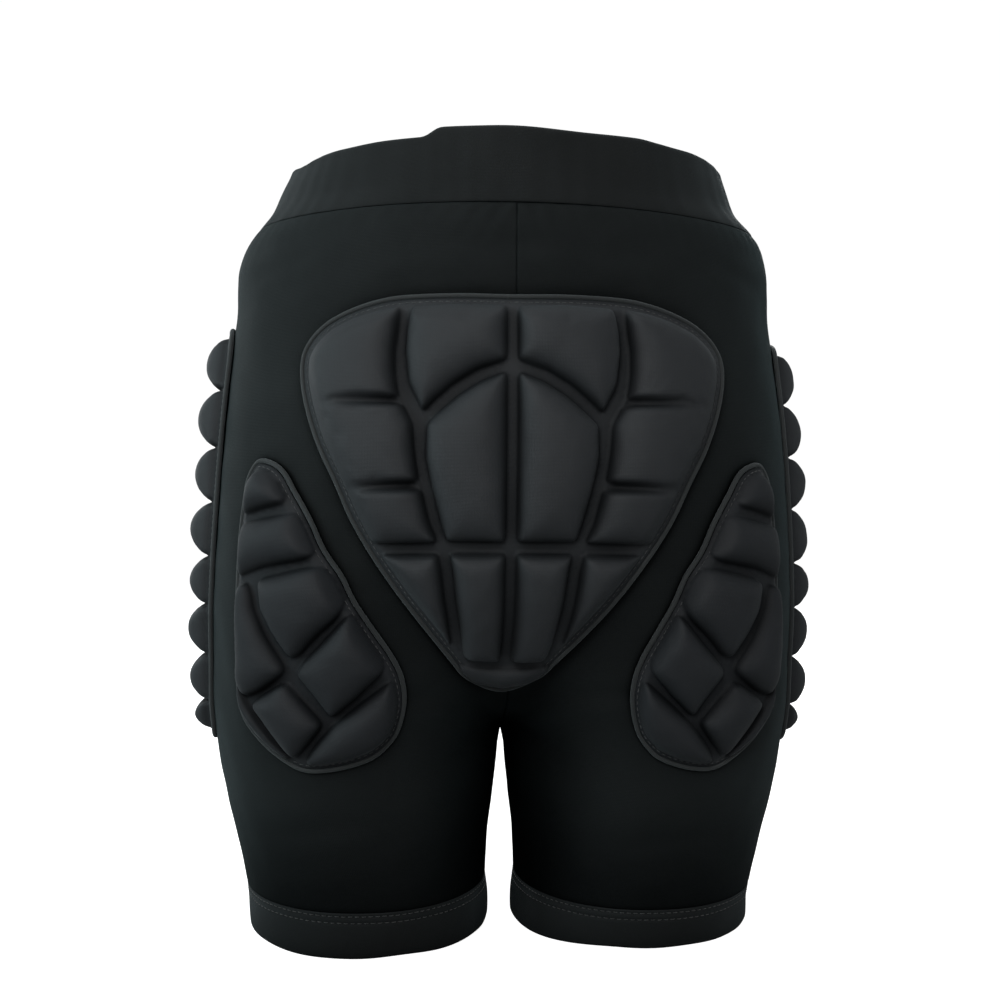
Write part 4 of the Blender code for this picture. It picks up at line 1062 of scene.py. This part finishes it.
def to_line(points, line):
    """Distance to an open polyline, and how far along it the nearest place is (0 to 1)."""
    best, share = np.full(len(points), 1e9), np.zeros(len(points))
    start = run_lengths(line)
    for k, (a, b) in enumerate(zip(line[:-1], line[1:])):
        length = np.linalg.norm(b - a)
        t = np.clip(((points - a) @ (b - a)) / length ** 2, 0, 1)
        off = np.linalg.norm(points - a - t[:, None] * (b - a), axis=1)
        nearer = off < best
        best = np.where(nearer, off, best)
        share = np.where(nearer, (start[k] + t * length) / start[-1], share)
    return best, share


def spread(groups):
    """Keeps the points of the (points, least distance) groups in order, dropping any that is nearer to
    a kept point than its group allows. A table of square bins finds the neighbours."""
    size = max(least for _, least in groups)
    kept, bins = [], {}
    for points, least in groups:
        for x, y in points.tolist():
            i, j = math.floor(x / size), math.floor(y / size)
            close = any(
                (q[0] - x) ** 2 + (q[1] - y) ** 2 < least * least
                for a in (i - 1, i, i + 1) for b in (j - 1, j, j + 1) for q in bins.get((a, b), ())
            )
            if not close:
                kept.append((x, y))
                bins.setdefault((i, j), []).append((x, y))
    return kept


def plane_mesh(rim, cells, pitch):
    """Triangles that follow the rim and the edges of the cells."""
    rim = even(rim, int(perimeter(rim) / (pitch * 0.95)))
    groups = [(inset(rim, pitch * 0.8), pitch * 0.5), (inset(rim, pitch * 1.7), pitch * 0.5)]
    for loop in cells:
        for by in (0.0, 0.45, 1.05, 1.9, 3.0):
            moved = inset(loop, by) if by else loop
            count = int(perimeter(moved) / max(0.8, pitch * 0.75))
            groups.append((even(moved, count), 0.42 if by < 1.0 else 0.55))
    low, high = rim.min(axis=0), rim.max(axis=0)
    hexes = []
    for k, y in enumerate(np.arange(low[1], high[1], pitch * 0.866)):
        xs = np.arange(low[0] + (pitch / 2 if k % 2 else 0.0), high[0], pitch)
        hexes.append(np.column_stack([xs, np.full(len(xs), y)]))
    groups.append((np.vstack(hexes), pitch * 0.72))
    groups = [(points[exact_depth(points, rim) > pitch * 0.45], least) for points, least in groups]
    coords = [Vector(point) for point in spread([(rim, 0.0)] + groups)]
    count = len(rim)
    edges = [(i, (i + 1) % count) for i in range(count)]
    verts, _, faces, _, _, _ = delaunay_2d_cdt(coords, edges, [list(range(count))], 1, 1e-5)
    return np.array([[v.x, v.y] for v in verts]), np.array([list(f) for f in faces], int)


# ---------------------------------------------------------------- guards
COVER_WALL = 0.7 * MM
FOAM_INSET = 2.1             # mm from the cover's rim
FOAM_TOP_GAP = 1.15 * MM     # foam under the cover's outer surface
FOAM_FOOT = 1.3 * MM         # underside of the foam over the body form
FOAM_LEAST = 0.35 * MM

# The pressure that blows the cover out, and how stiffly the cloth answers.
CLOTH = dict(quality=5, mass=0.0003, tension_stiffness=2.0, compression_stiffness=2.0,
             shear_stiffness=0.7, bending_stiffness=0.02, air_damping=2.0,
             vertex_group_mass="held", use_pressure=True, uniform_pressure_force=22.0)
CLOTH_FRAMES = 20


def inflate(name, top, faces, free, out):
    """Cloth simulation of the cover: held in its channels and round its rim, blown out a little by the
    foam's pressure from inside. Only the settled shape is kept."""
    mesh = bpy.data.meshes.new(name + "_sim")
    mesh.from_pydata(top.tolist(), [], faces.tolist())
    mesh.update()
    body = bpy.data.objects.new(name + "_sim", mesh)
    scene = bpy.context.scene
    scene.collection.objects.link(body)
    held = body.vertex_groups.new(name="held")
    held.add([int(k) for k in np.flatnonzero(free < 0.40)], 1.0, "REPLACE")
    cloth = body.modifiers.new("cloth", "CLOTH")
    for key, value in CLOTH.items():
        setattr(cloth.settings, key, value)
    cloth.settings.effector_weights.gravity = 0.0
    cloth.collision_settings.use_collision = False
    cloth.collision_settings.use_self_collision = False
    cloth.point_cache.frame_start, cloth.point_cache.frame_end = 1, CLOTH_FRAMES
    for frame_number in range(1, CLOTH_FRAMES + 1):
        scene.frame_set(frame_number)
    shape = body.evaluated_get(bpy.context.evaluated_depsgraph_get())
    settled = shape.to_mesh()
    moved = np.empty(len(settled.vertices) * 3, np.float32)
    settled.vertices.foreach_get("co", moved)
    shape.to_mesh_clear()
    bpy.data.objects.remove(body)
    bpy.data.meshes.remove(mesh)
    scene.frame_set(1)
    shift = moved.reshape(-1, 3).astype(float) - top
    shift[~np.isfinite(shift).all(axis=1)] = 0.0
    along = (shift * out).sum(axis=1)
    across = shift - out * along[:, None]
    length = np.linalg.norm(across, axis=1)
    across *= np.minimum(1.0, 0.5 * MM / np.maximum(length, 1e-9))[:, None]
    return top + out * np.clip(along, -0.4 * MM, 1.5 * MM)[:, None] + across


def tube_piece(name, path, up, radius, around, material, slot, node):
    """A closed round cord along the path."""
    ahead = np.roll(path, -1, axis=0) - np.roll(path, 1, axis=0)
    ahead /= np.linalg.norm(ahead, axis=1)[:, None]
    up = up - (up * ahead).sum(axis=1)[:, None] * ahead
    up /= np.linalg.norm(up, axis=1)[:, None]
    side = np.cross(ahead, up)
    run = run_lengths(path)
    points, uv = [], []
    for k in range(around):
        t = 2 * math.pi * k / around
        points.append(path + (up * math.sin(t) + side * math.cos(t)) * radius)
        uv.append(np.column_stack([np.full(len(run), radius * t), run]))
    count = len(path)
    points = np.vstack(points)
    i, k = np.meshgrid(np.arange(count), np.arange(around))
    i, k = i.ravel(), k.ravel()
    j, m = (i + 1) % count, (k + 1) % around
    faces = np.stack([k * count + i, k * count + j, m * count + j, m * count + i], axis=1)
    faces = faced(points, faces, points - np.tile(path, (around, 1)))
    add_piece(name, points, faces, np.vstack(uv), material, slot, node)


def channel_height(from_rim, flange, floor):
    """Height of the cloth outside the cells, from the flat flange up to the channel floor."""
    return flange + (floor - flange) * smoothstep(from_rim, 0.6, 5.0)


def cover_height(plane, from_rim, cells, flange, floor, slits, ease):
    """Height of the cover over the body in mm, and how free of the stitching each point is (0 to 1)."""
    height = channel_height(from_rim, flange, floor)
    free = np.zeros(len(plane))
    for loop, shape in cells:
        low, high = loop.min(axis=0) - 0.1, loop.max(axis=0) + 0.1
        box = np.flatnonzero(((plane >= low) & (plane <= high)).all(axis=1))
        depth = exact_depth(plane[box], loop)
        inside = box[depth > 0]
        depth = depth[depth > 0]
        if len(inside) == 0:
            continue
        height[inside] += pillow(soft_depth(plane[inside], loop, depth), **shape)
        free[inside] = np.clip(depth / 2.2, 0, 1)
    for line, wide, first, last in slits:
        off, along = to_line(plane, np.array(line, float))
        cut = (first + (last - first) * along) * np.exp(-((off / wide) ** 2.6))
        height = np.maximum(height - cut, np.minimum(height, floor + 0.4))
    pulled = 0.30 + 0.70 * smoothstep(from_rim, 0.5, ease) if ease else 1.0
    return np.where(height > floor, floor + (height - floor) * pulled, height), free


def foam_block(kind, suffix, base, out, top, normals, plane, faces, from_rim):
    """Foam under the cover, a little inside its rim."""
    faces = faces[(from_rim > FOAM_INSET)[faces].all(axis=1)]
    used = np.unique(faces)
    order = np.full(len(plane), -1)
    order[used] = np.arange(len(used))
    under = top - normals * FOAM_TOP_GAP - out * 0.1 * MM
    foot = base + out * FOAM_FOOT
    thick = ((under - foot) * out).sum(axis=1)
    under = under + out * np.maximum(FOAM_LEAST - thick, 0)[:, None]
    block = closed_between(under[used], foot[used], order[faces], plane[used] * MM)
    add_piece(f"{kind}_foamblock{suffix}", *block, FOAM, "eva_foam", f"{kind}_foam{suffix}")


def guard(kind, suffix, edge, cells, on_body, pitch, flange, floor, grow, corner, seed,
          bridge=0.0, slits=(), ease=0.0, material=GUARD):
    """Cover, foam, piping and stitching of one guard, in mm. cells holds (loop, pillow section), each
    loop rounded by corner and grown by grow. flange and floor are the heights of the rim and of the
    channels, pitch the mesh spacing, ease how far in from the rim the cells are pulled down."""
    edge = anticlockwise(smooth_loop(edge, 220))
    rim = inset(edge, 2.6)
    even_rim = even(rim, 300)
    cells = [(inset(rounded(loop, corner), -grow), shape) for loop, shape in cells]
    plane, faces = plane_mesh(rim, [loop for loop, _ in cells], pitch)
    from_rim = np.maximum(exact_depth(plane, even_rim), 0)
    height, free = cover_height(plane, from_rim, cells, flange, floor, slits, ease)
    base = on_body(plane)
    out = outward(base, bridge)
    x, y, z = base.T
    uneven = 0.50 * ripple(x, y, z, seed, 0.034) + 0.10 * ripple(x, y, z, seed + 50, 0.009)
    height = height + free * uneven
    top = base + out * (height * MM)[:, None]
    faces = faced(top, faces, out)
    top = inflate(f"{kind}{suffix}", top, faces, free, out)
    add_piece(f"{kind}_shellcloth{suffix}", *closed_sheet(top, faces, COVER_WALL, plane * MM),
              material, "guard_cloth", f"{kind}_cover{suffix}", mesh_name=f"{kind}_cloth{suffix}")
    foam_block(kind, suffix, base, out, top, normals_of(top, faces), plane, faces, from_rim)

    foot = on_body(even(inset(edge, 1.3), int(perimeter(edge) / 1.3)))
    up = outward(foot, bridge)
    tube_piece(f"{kind}_cord{suffix}", foot + up * PIPE_HIGH, up, PIPE_RADIUS, 12, CORD_PAINTED_HIGHLIGHT,
               "piping_cord", f"{kind}_piping{suffix}")
    line = even(inset(edge, 4.35), int(perimeter(edge) / 1.5))
    foot = on_body(line)
    up = outward(foot, bridge)
    level = channel_height(np.maximum(exact_depth(line, even_rim), 0), flange, floor) * MM
    stitches(f"{kind}_stitch{suffix}", foot + up * level[:, None], up, long=2.4 * MM,
             gap=0.9 * MM, radius=0.22 * MM, material=THREAD, slot="piping_cord",
             lift=0.02 * MM, seed=seed)


# ---------------------------------------------------------------- tailbone guard
def on_seat(plane):
    """Carries (x, z) straight back on to the seat. The cells sit a little to the left of the guard's
    middle; its edge stays where the frame has it."""
    side, height = plane[:, 0], plane[:, 1]
    share = np.clip(np.abs(side) / 104.0, 0, 1)
    shift = -2.8 - 1.8 * (1 - smoothstep(height, 145.0, 190.0)) - 0.045 * side
    x, z = (side + shift * (1 - share**2)) * MM, height * MM
    y = bisect(lambda y: form(x, y, z, BRIDGE), np.full(len(x), -0.02), np.full(len(x), -0.2))
    return np.stack([x, y, z], axis=1)


tail_cells = []
for key, cell in TAIL_CELLS.items():
    shape = FINGER_PILLOW if key.startswith("finger") else TAIL_PILLOW
    tail_cells += [(cell, shape), (flipped(cell), shape)]
tail_cells.append((TAIL_FLAP + flipped(TAIL_FLAP[1:-1]), FLAP_PILLOW))
left_slits = [([(-x, z) for x, z in line], *rest) for line, *rest in TAIL_SLITS]
guard("tail_pad", "", TAIL_EDGE + flipped(TAIL_EDGE[1:-1]), tail_cells, on_seat, pitch=1.55,
      flange=2.4, floor=4.5, grow=0.8, corner=1.4, seed=71, bridge=BRIDGE,
      slits=TAIL_SLITS + left_slits, ease=11.0)


# ---------------------------------------------------------------- thigh and hip guards
def on_leg(origin, rate, side):
    def put(plane):
        return round_leg(origin + plane[:, 0] / rate, plane[:, 1] * MM, side)
    return put


def tucked(on_body, share, start=8.0, soft=7.0):
    """Draws in the part of a thigh guard that reaches round towards the crotch."""
    def put(plane):
        s = plane[:, 0]
        over = soft * np.logaddexp(0.0, (s - start) / soft)
        return on_body(np.column_stack([s - share * over, plane[:, 1]]))
    return put


def hip_half(z, joints):
    """Half the hip guard's width at the height z."""
    t = (z - joints[-1]) / (joints[0] - joints[-1])
    end = HIP_HALF_FOOT if t < 0.5 else HIP_HALF_TOP
    return end + (HIP_HALF_MID - end) * math.sin(math.pi * t)


def hip_outline(joints):
    top, foot = joints[0] + HIP_END_MARGIN, joints[-1] - HIP_END_MARGIN
    heights = np.linspace(top - HIP_CORNER, foot + HIP_CORNER, 9)
    side = [(hip_half(z, joints), z) for z in heights]
    # rounded ends: share of the half width, and how far inside the end
    corner = [(0.0, -1.0), (0.45, -0.6), (0.78, 3.0), (0.94, 8.0)]
    wide_top = hip_half(top - HIP_CORNER, joints)
    wide_foot = hip_half(foot + HIP_CORNER, joints)
    head = [(wide_top * share, top - drop) for share, drop in corner]
    tail = [(wide_foot * share, foot + rise) for share, rise in reversed(corner)]
    half = head + side + tail
    return half + flipped(half[1:-1])


def hip_cells(joints):
    made = []
    for upper, lower in zip(joints[:-1], joints[1:]):
        top, foot = upper - LOBE_JOINT_HALF, lower + LOBE_JOINT_HALF
        top_margin = LOBE_END_MARGIN if upper == joints[0] else LOBE_SIDE_MARGIN
        foot_margin = LOBE_END_MARGIN if lower == joints[-1] else LOBE_SIDE_MARGIN
        half_top = hip_half(top, joints) - top_margin
        half_foot = hip_half(foot, joints) - foot_margin
        made.append([(half_top, top), (-half_top, top), (-half_foot, foot), (half_foot, foot)])
    return made


THIGH_SHAPES = {"crescent": CRESCENT_PILLOW, "tip": THIGH_TOP_PILLOW, "upper": THIGH_TOP_PILLOW}
thigh_cells = [(cell, THIGH_SHAPES.get(key, THIGH_PILLOW)) for key, cell in THIGH_CELLS.items()]

# name, side, lobe joints, lobe dome, how much the thigh guard is tucked, seeds of thigh and hip
for side_name, side, joints, dome, tuck, thigh_seed, hip_seed in (
    ("right", 1.0, LOBES_RIGHT, LOBE_DOME_RIGHT, 0.24, 81, 91),
    ("left", -1.0, LOBES_LEFT, LOBE_DOME_LEFT, 0.08, 83, 93),
):
    guard("thigh_pad", f"_{side_name}", THIGH_EDGE, thigh_cells,
          tucked(on_leg(THIGH_ORIGIN, THIGH_RATE, side), tuck), pitch=1.6, flange=2.4, floor=4.5,
          grow=1.7, corner=1.8, seed=thigh_seed, ease=8.0, material=THIGH_GUARD_PAINTED_SHADE)
    lobes = [(loop, dict(LOBE_PILLOW, dome=dome)) for loop in hip_cells(joints)]
    guard("hip_pad", f"_{side_name}", hip_outline(joints), lobes,
          on_leg(HIP_ORIGIN, HIP_RATE, side), pitch=1.9, flange=2.3, floor=2.9, grow=0.85,
          corner=2.2, seed=hip_seed)

# ---------------------------------------------------------------- stage
MIDDLE = (0.0, 0.0, 0.24)
WHITE = (1.0, 1.0, 1.0)
# Area lights: name, place, target, size (m), power (W), colour.
LIGHTS = [
    ("key_rear_left", (-0.40, -1.55, 1.05), MIDDLE, (0.7, 0.7), 15.0, WHITE),
    ("side_left", (-1.7, -0.40, 0.8), MIDDLE, (0.7, 1.2), 16.0, (0.80, 0.97, 1.0)),
    ("side_right", (1.7, -0.25, 0.6), MIDDLE, (0.7, 1.2), 2.4, (0.94, 0.98, 1.0)),
    ("low_rear", (0.25, -1.7, 0.30), (0.0, 0.0, 0.16), (0.8, 0.5), 3.4, WHITE),
    ("top", (0.0, 0.1, 1.9), MIDDLE, (1.0, 1.0), 6.0, WHITE),
    ("front_key", (0.50, 1.8, 1.0), MIDDLE, (0.9, 0.9), 16.0, WHITE),
    ("front_fill", (-1.3, 1.2, 0.7), MIDDLE, (1.0, 1.0), 5.0, (0.94, 0.98, 1.0)),
]
FLOOR_HALF = 12.0
FLOOR_DROP = 0.0006
scene = bpy.context.scene


def soft_light(name, place, target, size, power, colour):
    data = bpy.data.lights.new(name, "AREA")
    data.shape = "RECTANGLE"
    data.size, data.size_y = size
    data.energy = power
    data.color = colour
    light = bpy.data.objects.new(name, data)
    scene.collection.objects.link(light)
    light.location = place
    light.rotation_euler = (Vector(target) - Vector(place)).to_track_quat("-Z", "Y").to_euler()


def paper_material():
    """Near-white paper that glows for the camera but throws little light on the garment."""
    m = Material("studio_paper")
    grain = m.noise(m.object_place(), scale=60.0, detail=3.0)
    seen = m.add("ShaderNodeLightPath").outputs["Is Camera Ray"]
    paper = m.mix(grain, (0.80, 0.80, 0.80), (0.83, 0.83, 0.83))
    m.set("Base Color", m.mix(seen, (0.22, 0.22, 0.22), paper))
    m.set("Roughness", 0.9)
    m.set("Specular IOR Level", 0.1)
    m.set("Emission Color", WHITE)
    m.set("Emission Strength", m.times(seen, 0.97))
    return m.block


def studio_floor():
    mesh = bpy.data.meshes.new("studio_floor")
    bm = bmesh.new()
    bmesh.ops.create_grid(bm, x_segments=2, y_segments=2, size=FLOOR_HALF)
    bm.to_mesh(mesh)
    bm.free()
    floor = bpy.data.objects.new("studio_floor", mesh)
    scene.collection.objects.link(floor)
    floor.location = (0, 0, -FLOOR_DROP)
    mesh.materials.append(paper_material())


def studio_world():
    """White for the camera, a dim fill for everything else."""
    world = bpy.data.worlds.new("studio")
    scene.world = world
    world.use_nodes = True
    tree = world.node_tree
    sky = tree.nodes["Background"]
    ray = tree.nodes.new("ShaderNodeLightPath")
    level = tree.nodes.new("ShaderNodeMapRange")
    level.inputs["To Min"].default_value = 0.09
    level.inputs["To Max"].default_value = 1.02
    tree.links.new(ray.outputs["Is Camera Ray"], level.inputs["Value"])
    tree.links.new(level.outputs["Result"], sky.inputs["Strength"])
    sky.inputs["Color"].default_value = (*WHITE, 1.0)


def add_camera(distance, height, lens, azimuth, roll, shift_x):
    """A level camera behind the garment; angles in degrees, lens in mm."""
    azimuth, roll = math.radians(azimuth), math.radians(roll)
    back = Vector((math.sin(azimuth), -math.cos(azimuth), 0.0))
    level = Vector((math.cos(azimuth), math.sin(azimuth), 0.0))
    upright_axis = Vector((0.0, 0.0, 1.0))
    right = level * math.cos(roll) - upright_axis * math.sin(roll)
    up = upright_axis * math.cos(roll) + level * math.sin(roll)
    data = bpy.data.cameras.new("camera")
    data.sensor_width = 36.0
    data.lens = lens
    data.shift_x = shift_x
    data.clip_start = 0.01
    camera = bpy.data.objects.new("camera", data)
    scene.collection.objects.link(camera)
    place = back * distance + Vector((0, 0, height)) + Vector(SHIFT)
    turn = Matrix((right, up, back)).transposed().to_4x4()
    camera.matrix_world = Matrix.Translation(place) @ turn
    scene.camera = camera


for light in LIGHTS:
    soft_light(*light)
studio_floor()
studio_world()
scene.view_settings.view_transform = "Standard"
scene.view_settings.look = "None"
scene.view_settings.exposure = 0.0
add_camera(distance=0.72, height=0.2385, lens=44.568, azimuth=-3.3, roll=-0.4, shift_x=-0.0015)
